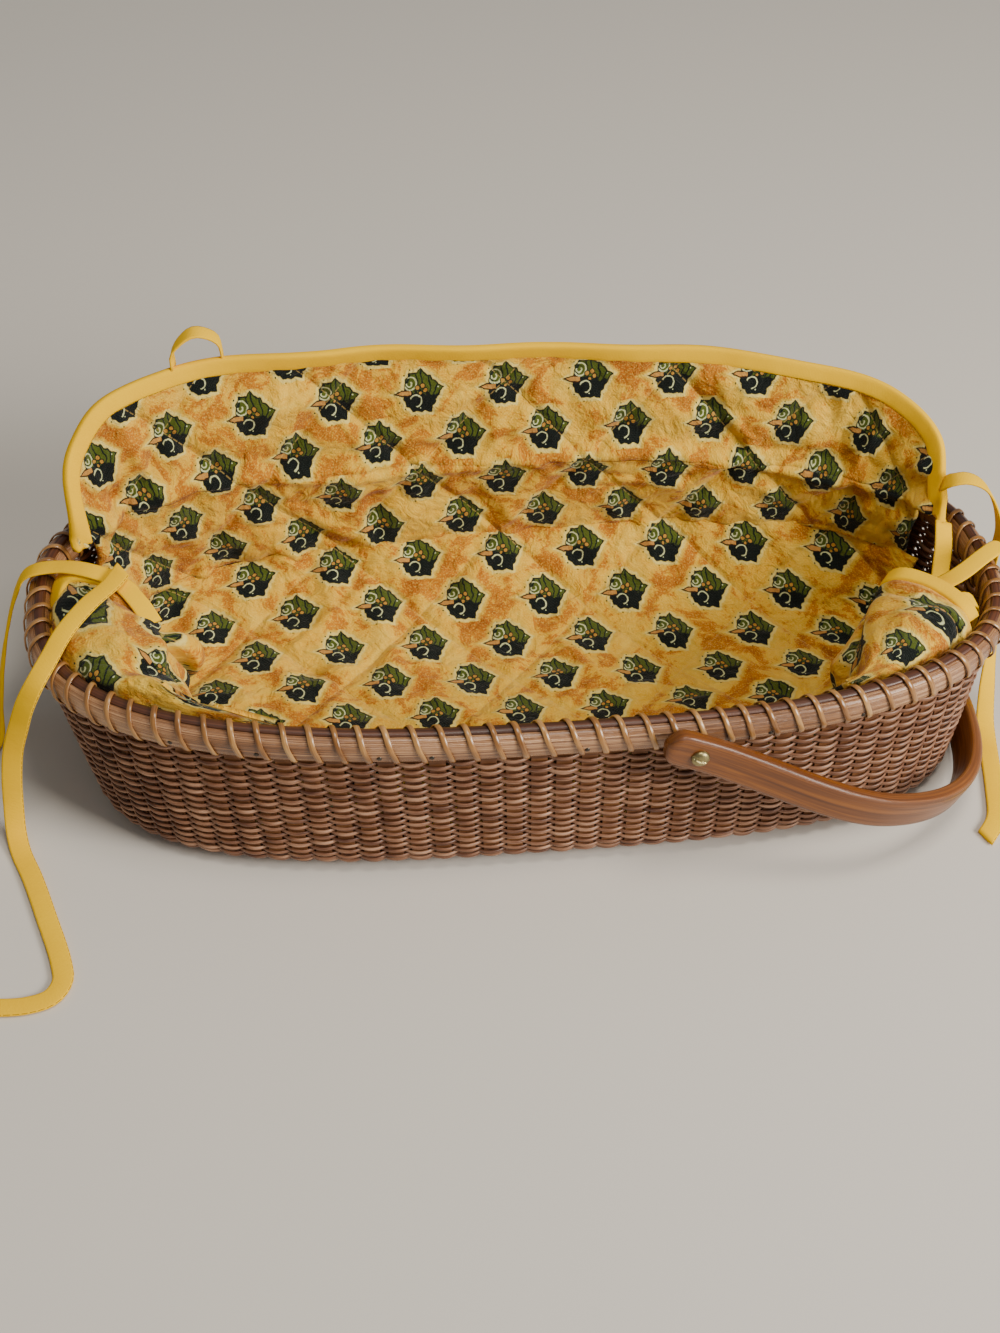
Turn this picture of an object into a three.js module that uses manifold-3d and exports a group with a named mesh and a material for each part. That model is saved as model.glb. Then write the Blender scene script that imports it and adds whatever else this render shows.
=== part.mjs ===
// Lined oval basket with a swinging bentwood handle.
// Millimetres, +Z up. X runs along the basket, the front faces -Y, and Z = 0 is the
// surface that the base board stands on. The handle is drawn let down toward +X.
import * as THREE from "three";
import * as BufferGeometryUtils from "three/addons/utils/BufferGeometryUtils.js";
import Module from "manifold-3d";

const wasm = await Module();
wasm.setup();

// Driving dimensions
const RIM_LENGTH = 400;
const RIM_WIDTH = 184;
const RIM_BASE_HEIGHT = 66.5;
const RIM_SQUARENESS = 2.68;
const END_SPLAY = 17.5;
const SIDE_SPLAY = 5;
const FOOT_SQUARENESS = 3.25;
const FOOT_SHIFT = 4;
const STAVE_COUNT = 101;

// Clearances
const CLEARANCE = 0.3;
const OVERRUN = 10;

// Rim: two half-round hoops, a filler strip over the stave tops and the lashing
const HOOP_HEIGHT = 12;
const HOOP_SHOULDER = 3;
const OUTER_HOOP_THICKNESS = 4.6;
const INNER_HOOP_THICKNESS = 2.9;
const FILLER_HEIGHT = 1;
const FILLER_TOP_WIDTH = 3;
const FILLER_BASE_WIDTH = 3.8;
const LASHING_WIDTH = 2.3;
const LASHING_THICKNESS = 0.8;

// Wall
const STAVE_WIDTH = 6.2;
const STAVE_THICKNESS = 1.3;
const STAVE_HEIGHT_IN_RIM = 11.4;
const WEAVE_THICKNESS = 1.4;
const FOOT_CURL = 8;
const FOOT_CURL_HEIGHT = 8.8;
const WEAVE_FOOT_HEIGHT = 1.2;
const WEAVE_FOOT_THICKNESS = 1.8;

// Base board
const BOARD_THICKNESS = 7;
const GROOVE_DEPTH = 4.6;
const GROOVE_WIDTH = 2;
const GROOVE_MIDDLE_HEIGHT = 4.2;

// Handle: a bentwood bail on two screws through the rim
const PIVOT_STAVE = 20;
const PIVOT_HEIGHT_ON_HOOP = 4.7;
const HANDLE_DROP_ANGLE = 23.9;
const HANDLE_WIDTH = 15.4;
const HANDLE_THICKNESS = 6.2;
const HANDLE_CHAMFER = 1.4;
const HANDLE_SQUARENESS = 2.9;
const HANDLE_FLARE = 12;
const HANDLE_FLARE_RUN = 90;
const HANDLE_SIDE_GAP = 2.2;
const HANDLE_END_GAP = 1.2;
const HANDLE_TAIL = 14;
const HANDLE_BOW_STEPS = 34;
const HANDLE_NORMAL_STEPS = 800;
// The handle's rounded ends, as shares of the tail's length and of the handle's width
const HANDLE_TAIL_SHARES = [
  [1, 0.42],
  [0.82, 0.72],
  [0.5, 0.94],
  [0.1, 1],
];
const SCREW_RADIUS = 1.6;
const SCREW_HEAD_RADIUS = 3.6;
const SCREW_HEAD_HEIGHT = 2;
const SCREW_SLOT_WIDTH = 0.9;
const SCREW_SLOT_DEPTH = 0.9;
const SCREW_SLOT_ANGLE = 25;
const HEAD_SHOULDER_SHARES = [0.8, 0.7];
const SPACER_RADIUS = 2.3;
const NUT_RADIUS = 3.9;
const NUT_BASE_HEIGHT = 1.5;
const NUT_DOME_HEIGHT = 1.7;
const NUT_DOME_SHARES = [0.75, 0.65];
const HARDWARE_SIDES = 12;
const BORE_SIDES = 12;
const TACK_RADIUS = 1.1;
const TACK_HEIGHT = 0.7;
const TACK_CROWN_SHARE = 0.7;
const TACK_SIDES = 6;
const TACK_STATIONS = [60.75, 64.1, 68.75, 70.75, 76.75, 84.1, 88.1];

// Liner
const QUILT_THICKNESS = 3;
const TAPE_WIDTH = 8;
const TAPE_THICKNESS = 1.2;
const BINDING_THICKNESS = 4;
const FLAP_HEIGHT = 54;
const FLAP_LEAN_ANGLE = 18;
const FLAP_FOLD_DEPTH = 2;
const FLAP_FOLDS = 7;
const FRONT_PANEL_HEIGHT = 46;
const SEAM_HEIGHT_LEFT = 22;
const SEAM_HEIGHT_RIGHT = 42;
const END_FOLD_REACH = 38;
const END_RISE_SHARE = 0.7;
const FRONT_WAVE_DEPTH = 1.5;
const FRONT_WAVES = 4;
const FRONT_PANEL_STATIONS = [59, 90.5];
const BACK_PANEL_STATIONS = [4.5, 45.5];
const LEFT_END_STATIONS = [48, 57.5];
const RIGHT_END_STATIONS = [92, 99];
const FRONT_PANEL_COLUMNS = 24;
const BACK_PANEL_COLUMNS = 24;
const END_COLUMNS = 8;
const FLOOR_STATIONS = [46.5, 3.5];
const FLOOR_COLUMNS = 20;
const FLOOR_RISE_SHARE = 0.72;
const FLOOR_RISE_POWER = 1.5;
const FLOOR_DEPTH_SHARES = [0, 0.4, 0.72, 0.83, 0.92, 1];
const FLAP_ROWS = 4;
const FLAP_COLUMNS = 32;
const FLAP_FINE_STEPS = 240;
const FLAP_BINDING_STEPS = 40;
const FLAP_END_CROWDING_SHARE = 0.6;
// The flap's outline, as shares of the way round the rim and of the flap's height
const FLAP_OUTLINE_SHARES = [
  [0.0235, 0],
  [0.036, 0.3],
  [0.0475, 0.57],
  [0.074, 0.76],
  [0.12, 0.83],
  [0.208, 0.91],
  [0.32, 0.96],
  [0.395, 0.98],
  [0.425, 0.91],
  [0.44, 0.77],
  [0.4535, 0.56],
  [0.467, 0],
];

// Ties, as [x, y, z, heading of the tape's width in degrees] through the tape's middle
const TIE_STEP = 13;
const TIE_LEAST_STEPS = 4;
const TAPE_SECTION_SHARES = [
  [1, -0.4],
  [1, 0.4],
  [0.8, 1],
  [-0.8, 1],
  [-1, 0.4],
  [-1, -0.4],
  [-0.8, -1],
  [0.8, -1],
];
const TIES = {
  tie_left_outer: [
    [-150.5, -17, 78.5, 25],
    [-156, -8, 82.5, 28],
    [-164.9, 3.4, 84.6, 50],
    [-174.5, 7.8, 86.2, 66],
    [-186.4, 12.6, 85, 70],
    [-199.4, 14, 81.7, 80],
    [-205, 15.5, 71, 88],
    [-209.5, 14, 57, 90],
    [-214, 10, 38, 95],
    [-217.5, 6, 18, 110],
    [-220, 0, 5, 130],
    [-226, -9, 1.2, 144],
    [-238, -22, 1.2, 140],
    [-250, -36, 1.2, 140],
  ],
  tie_left_front: [
    [-161.6, 6.5, 87.2, -25],
    [-166, -2, 87.2, -28],
    [-174.4, -11.5, 86.2, -35],
    [-183.6, -24.7, 84, -33],
    [-189.6, -38.9, 82.4, -24],
    [-194.5, -47.1, 78.6, -30],
    [-199.1, -49.5, 70, -30],
    [-202.9, -49, 58, -20],
    [-206.5, -48.4, 45, -10],
    [-208.7, -48.9, 30, -3],
    [-209.8, -49.5, 15, 2],
    [-209.8, -54, 4, 6],
    [-208, -62, 1.2, 14],
    [-203, -76, 1.2, 17],
    [-197.1, -95.9, 1.2, 16],
    [-190.8, -119, 1.2, 12],
    [-190, -128, 1.2, -6],
    [-194, -135, 1.2, -42],
    [-203, -138, 1.2, -78],
    [-218, -137.6, 1.2, -91],
  ],
  tie_right_outer: [
    [165.8, -19.1, 77.3, 100],
    [177.8, -16.9, 83, 108],
    [190.9, -8.6, 85.5, 118],
    [200.2, -1.6, 84, 115],
    [206, 2, 77, 100],
    [208, 1.5, 65, 90],
    [207.5, -3, 45, 60],
    [206.5, -11, 26, 30],
    [205.8, -18, 13, 8],
    [205, -25, 4, -4],
    [203.8, -33, 1.2, -10],
    [200.5, -48, 1.2, -12],
    [196.8, -64, 1.2, -13],
    [192, -80, 1.2, -20],
    [184, -90, 1.2, -37],
  ],
  tie_right_loop: [
    [181.1, 25.9, 96.6, 70],
    [183, 22, 101.5, 80],
    [189, 21, 103, 85],
    [197, 20, 99.5, 88],
    [203.5, 17, 90, 90],
    [207.5, 16, 77, 90],
    [209, 17, 60, 95],
    [209.5, 19, 40, 110],
    [210, 22, 20, 135],
    [211.5, 26, 6, 150],
    [215.5, 33, 1.2, 150],
    [223, 46, 1.2, 150],
  ],
};

// Short lengths of tape sewn to the liner, as [station round the rim, depth in from the
// liner's wall side, rise over the flap's foot, heading of the width in degrees]
const SEWN_TAPES = {
  tie_right_tail: [
    [96.06, 14.8, -2.4, 92],
    [96.67, 9.2, -2, 92],
    [97.31, 3.3, -2, 92],
    [97.65, -0.2, -4.3, 92],
    [97.76, -1.4, -9.3, 92],
    [97.82, -1.6, -21.3, 92],
  ],
  tie_back_loop: [
    [39.43, -15.1, 51.9, 80],
    [39.39, -16.3, 58.7, 80],
    [38.5, -16.3, 65.7, 85],
    [37.5, -16.4, 60.7, 90],
    [37.29, -16.6, 52.2, 90],
  ],
  binding_back_end: [
    [2.28, 1.4, 0.1, 70],
    [0.92, 5, -5.3, 62],
    [0, 7.6, -12.3, 60],
    [-0.82, 8.4, -19.3, 65],
    [-1.65, 7, -28.3, 70],
  ],
};

const COLOURS = {
  cane: 0xb07a52,
  stave: 0xa9764b,
  hoop: 0xb27c55,
  filler: 0x8a5238,
  lashing: 0xc08a5a,
  bentwood: 0xb06a34,
  board: 0x9c6a40,
  screw: 0x8d7a55,
  nut: 0x55504a,
  quilt: 0xd99a3c,
  tape: 0xe8b830,
};

const material = (color, roughness, metalness = 0) =>
  new THREE.MeshStandardMaterial({ color, roughness, metalness });

const MATERIALS = {
  cane: material(COLOURS.cane, 0.6),
  stave: material(COLOURS.stave, 0.6),
  hoop: material(COLOURS.hoop, 0.45),
  filler: material(COLOURS.filler, 0.5),
  lashing: material(COLOURS.lashing, 0.35),
  bentwood: material(COLOURS.bentwood, 0.4),
  board: material(COLOURS.board, 0.55),
  screw: material(COLOURS.screw, 0.35, 1),
  nut: material(COLOURS.nut, 0.35, 1),
  quilt: material(COLOURS.quilt, 0.9),
  tape: material(COLOURS.tape, 0.85),
};

const basket = new THREE.Group();

function addPiece(name, geometry, pieceMaterial) {
  const mesh = new THREE.Mesh(geometry, pieceMaterial);
  mesh.name = name;
  basket.add(mesh);
  return mesh;
}

// A closed body from corner points and triangles.
function bodyFrom(points, triangles) {
  const geometry = new THREE.BufferGeometry();
  const positions = points.flatMap((p) => [p.x, p.y, p.z]);
  geometry.setAttribute("position", new THREE.Float32BufferAttribute(positions, 3));
  geometry.setIndex(triangles.flat());
  geometry.computeVertexNormals();
  return geometry;
}

// Skin over a row of rings that have equally many points. A closed row joins its last ring
// to its first, and an open row is capped with fans.
function skinOver(rings, closed) {
  const size = rings[0].length;
  const triangles = [];
  const steps = closed ? rings.length : rings.length - 1;
  for (let i = 0; i < steps; i++) {
    const here = i * size;
    const there = ((i + 1) % rings.length) * size;
    for (let j = 0; j < size; j++) {
      const next = (j + 1) % size;
      triangles.push([here + j, here + next, there + next]);
      triangles.push([here + j, there + next, there + j]);
    }
  }
  if (!closed) {
    const last = (rings.length - 1) * size;
    for (let j = 1; j < size - 1; j++) {
      triangles.push([0, j + 1, j]);
      triangles.push([last, last + j, last + j + 1]);
    }
  }
  return bodyFrom(rings.flat(), triangles);
}

// A sheet of even thickness under a grid of points, whose rows run the same way.
function sheetUnder(grid, thickness) {
  const rows = grid.length;
  const columns = grid[0].length;
  const within = (index, count) => Math.min(Math.max(index, 0), count - 1);
  const at = (i, j) => grid[within(i, rows)][within(j, columns)];
  const back = grid.map((row, i) =>
    row.map((point, j) => {
      const along = at(i, j + 1).clone().sub(at(i, j - 1));
      const across = at(i + 1, j).clone().sub(at(i - 1, j));
      return point.clone().addScaledVector(along.cross(across).normalize(), -thickness);
    }),
  );
  const offset = rows * columns;
  const triangles = [];
  for (let i = 0; i < rows - 1; i++) {
    for (let j = 0; j < columns - 1; j++) {
      const a = i * columns + j;
      const b = a + 1;
      const c = b + columns;
      const d = a + columns;
      triangles.push([a, b, c], [a, c, d]);
      triangles.push([a + offset, c + offset, b + offset], [a + offset, d + offset, c + offset]);
    }
  }
  const edge = [];
  for (let j = 0; j < columns - 1; j++) edge.push(j);
  for (let i = 0; i < rows - 1; i++) edge.push(i * columns + columns - 1);
  for (let j = columns - 1; j > 0; j--) edge.push((rows - 1) * columns + j);
  for (let i = rows - 1; i > 0; i--) edge.push(i * columns);
  edge.forEach((a, k) => {
    const b = edge[(k + 1) % edge.length];
    triangles.push([a, a + offset, b + offset], [a, b + offset, b]);
  });
  return bodyFrom([...grid.flat(), ...back.flat()], triangles);
}

// A piece with holes or slots cut by plain cutters.
function cut(geometry, cutters) {
  const solidOf = (source) => {
    const bare = source.clone();
    bare.deleteAttribute("normal");
    bare.deleteAttribute("uv");
    const merged = BufferGeometryUtils.mergeVertices(bare);
    return new wasm.Manifold(
      new wasm.Mesh({
        numProp: 3,
        vertProperties: new Float32Array(merged.attributes.position.array),
        triVerts: new Uint32Array(merged.index.array),
      }),
    );
  };
  const solid = cutters.reduce((left, cutter) => left.subtract(solidOf(cutter)), solidOf(geometry));
  const mesh = solid.getMesh();
  const result = new THREE.BufferGeometry();
  result.setAttribute("position", new THREE.BufferAttribute(mesh.vertProperties, 3));
  result.setIndex(new THREE.BufferAttribute(mesh.triVerts, 1));
  result.computeVertexNormals();
  return result;
}

// Superellipse outline walked at equal steps of arc length from its +X end.
function ovalWalk(halfLength, halfWidth, squareness) {
  const FINE_STEPS = 4000;
  const power = 2 / squareness;
  const points = [];
  for (let i = 0; i <= FINE_STEPS; i++) {
    const angle = (2 * Math.PI * i) / FINE_STEPS;
    const c = Math.cos(angle);
    const s = Math.sin(angle);
    const x = halfLength * Math.sign(c) * Math.abs(c) ** power;
    const y = halfWidth * Math.sign(s) * Math.abs(s) ** power;
    points.push(new THREE.Vector2(x, y));
  }
  const lengths = [0];
  for (let i = 1; i < points.length; i++) {
    lengths.push(lengths[i - 1] + points[i].distanceTo(points[i - 1]));
  }
  const total = lengths[lengths.length - 1];
  return (share) => {
    const target = (((share % 1) + 1) % 1) * total;
    let low = 0;
    let high = lengths.length - 1;
    while (high - low > 1) {
      const middle = (low + high) >> 1;
      if (lengths[middle] <= target) low = middle;
      else high = middle;
    }
    const part = (target - lengths[low]) / (lengths[high] - lengths[low]);
    const point = points[low].clone().lerp(points[high], part);
    const normal = new THREE.Vector2(
      Math.sign(point.x) * (Math.abs(point.x) / halfLength) ** (squareness - 1) / halfLength,
      Math.sign(point.y) * (Math.abs(point.y) / halfWidth) ** (squareness - 1) / halfWidth,
    ).normalize();
    return { point, normal };
  };
}

// Foot, heights and insets of the wall
const FOOT_LENGTH = RIM_LENGTH - 2 * END_SPLAY;
const FOOT_WIDTH = RIM_WIDTH - 2 * SIDE_SPLAY;
const WEAVE_INSET = OUTER_HOOP_THICKNESS - WEAVE_THICKNESS;
const STAVE_INSET = OUTER_HOOP_THICKNESS + CLEARANCE;
const INNER_HOOP_INSET = STAVE_INSET + STAVE_THICKNESS + CLEARANCE;
const RIM_THICKNESS = INNER_HOOP_INSET + INNER_HOOP_THICKNESS;
const WEAVE_TOP = RIM_BASE_HEIGHT - LASHING_THICKNESS - 3 * CLEARANCE;
const CURL_TOP = WEAVE_FOOT_HEIGHT + FOOT_CURL_HEIGHT;

// The wall's plan at a height: it widens from the foot to the weave's top, then stands
// upright through the rim. Insets count inward from the outer hoop's face.
const WALK_CACHE = new Map();
function planAt(height) {
  const rise = (height - WEAVE_FOOT_HEIGHT) / (WEAVE_TOP - WEAVE_FOOT_HEIGHT);
  const share = Math.min(Math.max(rise, 0), 1);
  const key = share.toFixed(6);
  if (!WALK_CACHE.has(key)) {
    const halfLength = THREE.MathUtils.lerp(FOOT_LENGTH / 2 + WEAVE_INSET, RIM_LENGTH / 2, share);
    const halfWidth = THREE.MathUtils.lerp(FOOT_WIDTH / 2 + WEAVE_INSET, RIM_WIDTH / 2, share);
    const squareness = THREE.MathUtils.lerp(FOOT_SQUARENESS, RIM_SQUARENESS, share);
    WALK_CACHE.set(key, {
      walk: ovalWalk(halfLength, halfWidth, squareness),
      shift: FOOT_SHIFT * (1 - share),
    });
  }
  return WALK_CACHE.get(key);
}

// A point on the wall: station counts staves from the +X end, inset counts inward.
function wallPoint(station, inset, height) {
  const { walk, shift } = planAt(height);
  const { point, normal } = walk(station / STAVE_COUNT);
  const x = point.x - normal.x * inset + shift;
  return new THREE.Vector3(x, point.y - normal.y * inset, height);
}

// A ring of sections round the basket, one between each two staves. A profile runs up the
// outer face and down the inner.
function ringAround(profile) {
  const rings = [];
  for (let i = 0; i < STAVE_COUNT; i++) {
    const section = profile.map(([inset, height]) => wallPoint(i + 0.5, inset, height));
    rings.push(section.reverse());
  }
  return skinOver(rings, true);
}

// Base board: an oval wooden board with a tapered groove round its edge for the stave feet.
const BOARD_INSET = WEAVE_INSET + FOOT_CURL + CLEARANCE;
const BOARD_EDGE = [
  [0, 0],
  [0, GROOVE_MIDDLE_HEIGHT - GROOVE_WIDTH / 2],
  [GROOVE_DEPTH, GROOVE_MIDDLE_HEIGHT],
  [0, GROOVE_MIDDLE_HEIGHT + GROOVE_WIDTH / 2],
  [0, BOARD_THICKNESS],
];

function baseBoard() {
  const rings = BOARD_EDGE.map(([depth, height]) => {
    const ring = [];
    for (let i = 0; i < STAVE_COUNT; i++) {
      const edge = wallPoint(i + 0.5, BOARD_INSET + depth, WEAVE_FOOT_HEIGHT);
      ring.push(edge.setZ(height));
    }
    return ring;
  });
  return skinOver(rings, false);
}

// Staves: thin upright strips whose tapered feet are joined in the board's groove.
function staveCage() {
  const half = STAVE_WIDTH / 2 / staveSpacing();
  const mouth = BOARD_INSET - CLEARANCE;
  const tip = BOARD_INSET + GROOVE_DEPTH - 2 * CLEARANCE;
  const footLow = GROOVE_MIDDLE_HEIGHT - STAVE_THICKNESS / 2;
  const footHigh = GROOVE_MIDDLE_HEIGHT + STAVE_THICKNESS / 2;
  const top = RIM_BASE_HEIGHT + STAVE_HEIGHT_IN_RIM;
  const levels = [CURL_TOP + CLEARANCE, WEAVE_TOP, top];
  const points = [];
  const triangles = [];
  const quad = (a, b, c, d) => triangles.push([a, b, c], [a, c, d]);
  // Corners of one stave's side, from the chord between its neighbouring gaps
  const corner = (station, share, inset, height) =>
    wallPoint(station - 0.5, inset, height).lerp(wallPoint(station + 0.5, inset, height), share);
  const PER_SIDE = 9;
  for (let i = 0; i < STAVE_COUNT; i++) {
    for (const share of [0.5 - half, 0.5 + half]) {
      const place = (inset, height, planHeight) => corner(i, share, inset, planHeight).setZ(height);
      points.push(place(tip, GROOVE_MIDDLE_HEIGHT, WEAVE_FOOT_HEIGHT));
      points.push(place(mouth, footLow, WEAVE_FOOT_HEIGHT));
      points.push(place(mouth, footHigh, WEAVE_FOOT_HEIGHT));
      for (const level of levels) {
        points.push(place(STAVE_INSET, level, level));
        points.push(place(STAVE_INSET + STAVE_THICKNESS, level, level));
      }
    }
    const left = 2 * i * PER_SIDE;
    const right = left + PER_SIDE;
    const next = (right + PER_SIDE) % (2 * STAVE_COUNT * PER_SIDE);
    for (const [a, b] of [[left, right], [right, next]]) {
      quad(a, b, b + 1, a + 1);
      quad(a + 2, b + 2, b, a);
    }
    quad(right + 1, next + 1, next + 2, right + 2);
    for (let k = 1; k < PER_SIDE - 2; k += 2) {
      quad(left + k, right + k, right + k + 2, left + k + 2);
      quad(right + k + 1, left + k + 1, left + k + 3, right + k + 3);
      quad(left + k + 1, left + k, left + k + 2, left + k + 3);
      quad(right + k, right + k + 1, right + k + 3, right + k + 2);
    }
    quad(left + PER_SIDE - 2, right + PER_SIDE - 2, right + PER_SIDE - 1, left + PER_SIDE - 1);
  }
  return bodyFrom(points, triangles);
}

function staveSpacing() {
  const first = wallPoint(0, STAVE_INSET, WEAVE_TOP);
  return first.distanceTo(wallPoint(1, STAVE_INSET, WEAVE_TOP));
}

// Woven wall: the cane weave as one shell outside the staves, curled in under the foot.
function wovenWall() {
  const inner = WEAVE_INSET + WEAVE_THICKNESS;
  const curlMiddleShare = 0.28;
  const curlMiddle = WEAVE_FOOT_HEIGHT + FOOT_CURL_HEIGHT * curlMiddleShare;
  return ringAround([
    [WEAVE_INSET + FOOT_CURL, WEAVE_FOOT_HEIGHT],
    [WEAVE_INSET + FOOT_CURL * curlMiddleShare, curlMiddle],
    [WEAVE_INSET, CURL_TOP],
    [WEAVE_INSET, WEAVE_TOP],
    [inner, WEAVE_TOP],
    [inner, CURL_TOP],
    [WEAVE_INSET + FOOT_CURL, WEAVE_FOOT_HEIGHT + WEAVE_FOOT_THICKNESS],
  ]);
}

// Rim sections, as [inset, height above the rim's base]
const OUTER_HOOP_SECTION = [
  [OUTER_HOOP_THICKNESS, 0],
  [0, HOOP_SHOULDER],
  [0, HOOP_HEIGHT - HOOP_SHOULDER],
  [OUTER_HOOP_THICKNESS, HOOP_HEIGHT],
];
const INNER_HOOP_SECTION = [
  [RIM_THICKNESS, HOOP_SHOULDER],
  [INNER_HOOP_INSET, 0],
  [INNER_HOOP_INSET, HOOP_HEIGHT],
  [RIM_THICKNESS, HOOP_HEIGHT - HOOP_SHOULDER],
];
const FILLER_MIDDLE = STAVE_INSET + STAVE_THICKNESS / 2;
const FILLER_BASE = HOOP_HEIGHT + CLEARANCE;
const FILLER_SECTION = [
  [FILLER_MIDDLE - FILLER_BASE_WIDTH / 2, FILLER_BASE],
  [FILLER_MIDDLE - FILLER_TOP_WIDTH / 2, FILLER_BASE + FILLER_HEIGHT],
  [FILLER_MIDDLE + FILLER_TOP_WIDTH / 2, FILLER_BASE + FILLER_HEIGHT],
  [FILLER_MIDDLE + FILLER_BASE_WIDTH / 2, FILLER_BASE],
];
const onRim = (section) => section.map(([inset, height]) => [inset, RIM_BASE_HEIGHT + height]);
const RIM_TOP = RIM_BASE_HEIGHT + FILLER_BASE + FILLER_HEIGHT;
// Pivots: where a stave's middle meets the rim, the same on the front and the back
const PIVOT = wallPoint(PIVOT_STAVE, 0, RIM_TOP).setZ(RIM_BASE_HEIGHT + PIVOT_HEIGHT_ON_HOOP);
const PIVOT_X = PIVOT.x;
const PIVOT_Z = PIVOT.z;
const ARM_INNER_Y = RIM_WIDTH / 2 + HANDLE_SIDE_GAP;
const ARM_OUTER_Y = ARM_INNER_Y + HANDLE_THICKNESS;

const LASHING_SEAT = 1.2 * CLEARANCE;
const NUT_SEAT_Y = PIVOT.y - RIM_THICKNESS - LASHING_SEAT - LASHING_THICKNESS - CLEARANCE;
const SHANK_END_Y = NUT_SEAT_Y - NUT_BASE_HEIGHT;
const NUT_REACH = PIVOT.y - SHANK_END_Y + NUT_DOME_HEIGHT;
const LINER_INSET = NUT_REACH + CLEARANCE;

// The corner loop that the lashing is drawn round, from under the outer hoop and over
const LASHING_LOOP = [
  OUTER_HOOP_SECTION[0],
  OUTER_HOOP_SECTION[1],
  OUTER_HOOP_SECTION[2],
  FILLER_SECTION[1],
  FILLER_SECTION[2],
  INNER_HOOP_SECTION[3],
  INNER_HOOP_SECTION[0],
  INNER_HOOP_SECTION[1],
];
// How far along its pitch the strip has moved at each corner: mostly over the top
const LASHING_ADVANCE_SHARES = [0, 0.04, 0.3, 0.46, 0.6, 0.78, 0.96, 1];
// Corners of the last turn that the strip's end leaves out
const LASHING_END_CORNERS = 3;

// Moves each side of a loop outward by a distance. The loop runs outer face up, inner down.
function grownLoop(loop, distance) {
  const origin = new THREE.Vector2();
  const sideNormal = (from, to) => {
    const side = new THREE.Vector2(to[0] - from[0], to[1] - from[1]).normalize();
    return side.rotateAround(origin, Math.PI / 2);
  };
  return loop.map((corner, i) => {
    const before = loop[(i + loop.length - 1) % loop.length];
    const after = loop[(i + 1) % loop.length];
    const here = new THREE.Vector2(...corner);
    const first = sideNormal(before, corner);
    const second = sideNormal(corner, after);
    const reach = distance / (1 + first.dot(second));
    return here.add(first.add(second).multiplyScalar(reach)).toArray();
  });
}

// Lashing: one unbroken cane strip wound round the rim, once in each gap between staves.
function rimLashing() {
  const seat = grownLoop(LASHING_LOOP, LASHING_SEAT);
  const crown = grownLoop(LASHING_LOOP, LASHING_SEAT + LASHING_THICKNESS);
  const half = LASHING_WIDTH / 2 / staveSpacing();
  const place = ([inset, height], station) =>
    wallPoint(station, inset, RIM_TOP).setZ(RIM_BASE_HEIGHT + height);
  const rings = [];
  for (let turn = 0; turn < STAVE_COUNT; turn++) {
    LASHING_ADVANCE_SHARES.forEach((advance, k) => {
      const station = 0.5 - turn - advance;
      rings.push([
        place(seat[k], station - half),
        place(crown[k], station),
        place(seat[k], station + half),
      ]);
    });
  }
  rings.splice(-LASHING_END_CORNERS);
  printLeastGap(rings);
  return skinOver(rings, false);
}

// Prints how close the strip comes to itself, measured on the points of its turns.
function printLeastGap(rings) {
  const perTurn = LASHING_ADVANCE_SHARES.length;
  let least = Infinity;
  rings.forEach((ring, i) => {
    for (let j = i + perTurn - 1; j < rings.length; j++) {
      const isNear = j - i < 2 * perTurn || i + rings.length - j < 2 * perTurn;
      if (!isNear) continue;
      for (const p of ring) for (const q of rings[j]) least = Math.min(least, p.distanceTo(q));
    }
  });
  console.log(`rim_lashing least gap to itself: ${least.toFixed(2)} mm`);
}

// A cutter along Y through both sides of the rim
function pivotBore(radius) {
  const bore = new THREE.CylinderGeometry(radius, radius, 2 * (ARM_OUTER_Y + OVERRUN), BORE_SIDES);
  return bore.translate(PIVOT_X, 0, PIVOT_Z);
}

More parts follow.
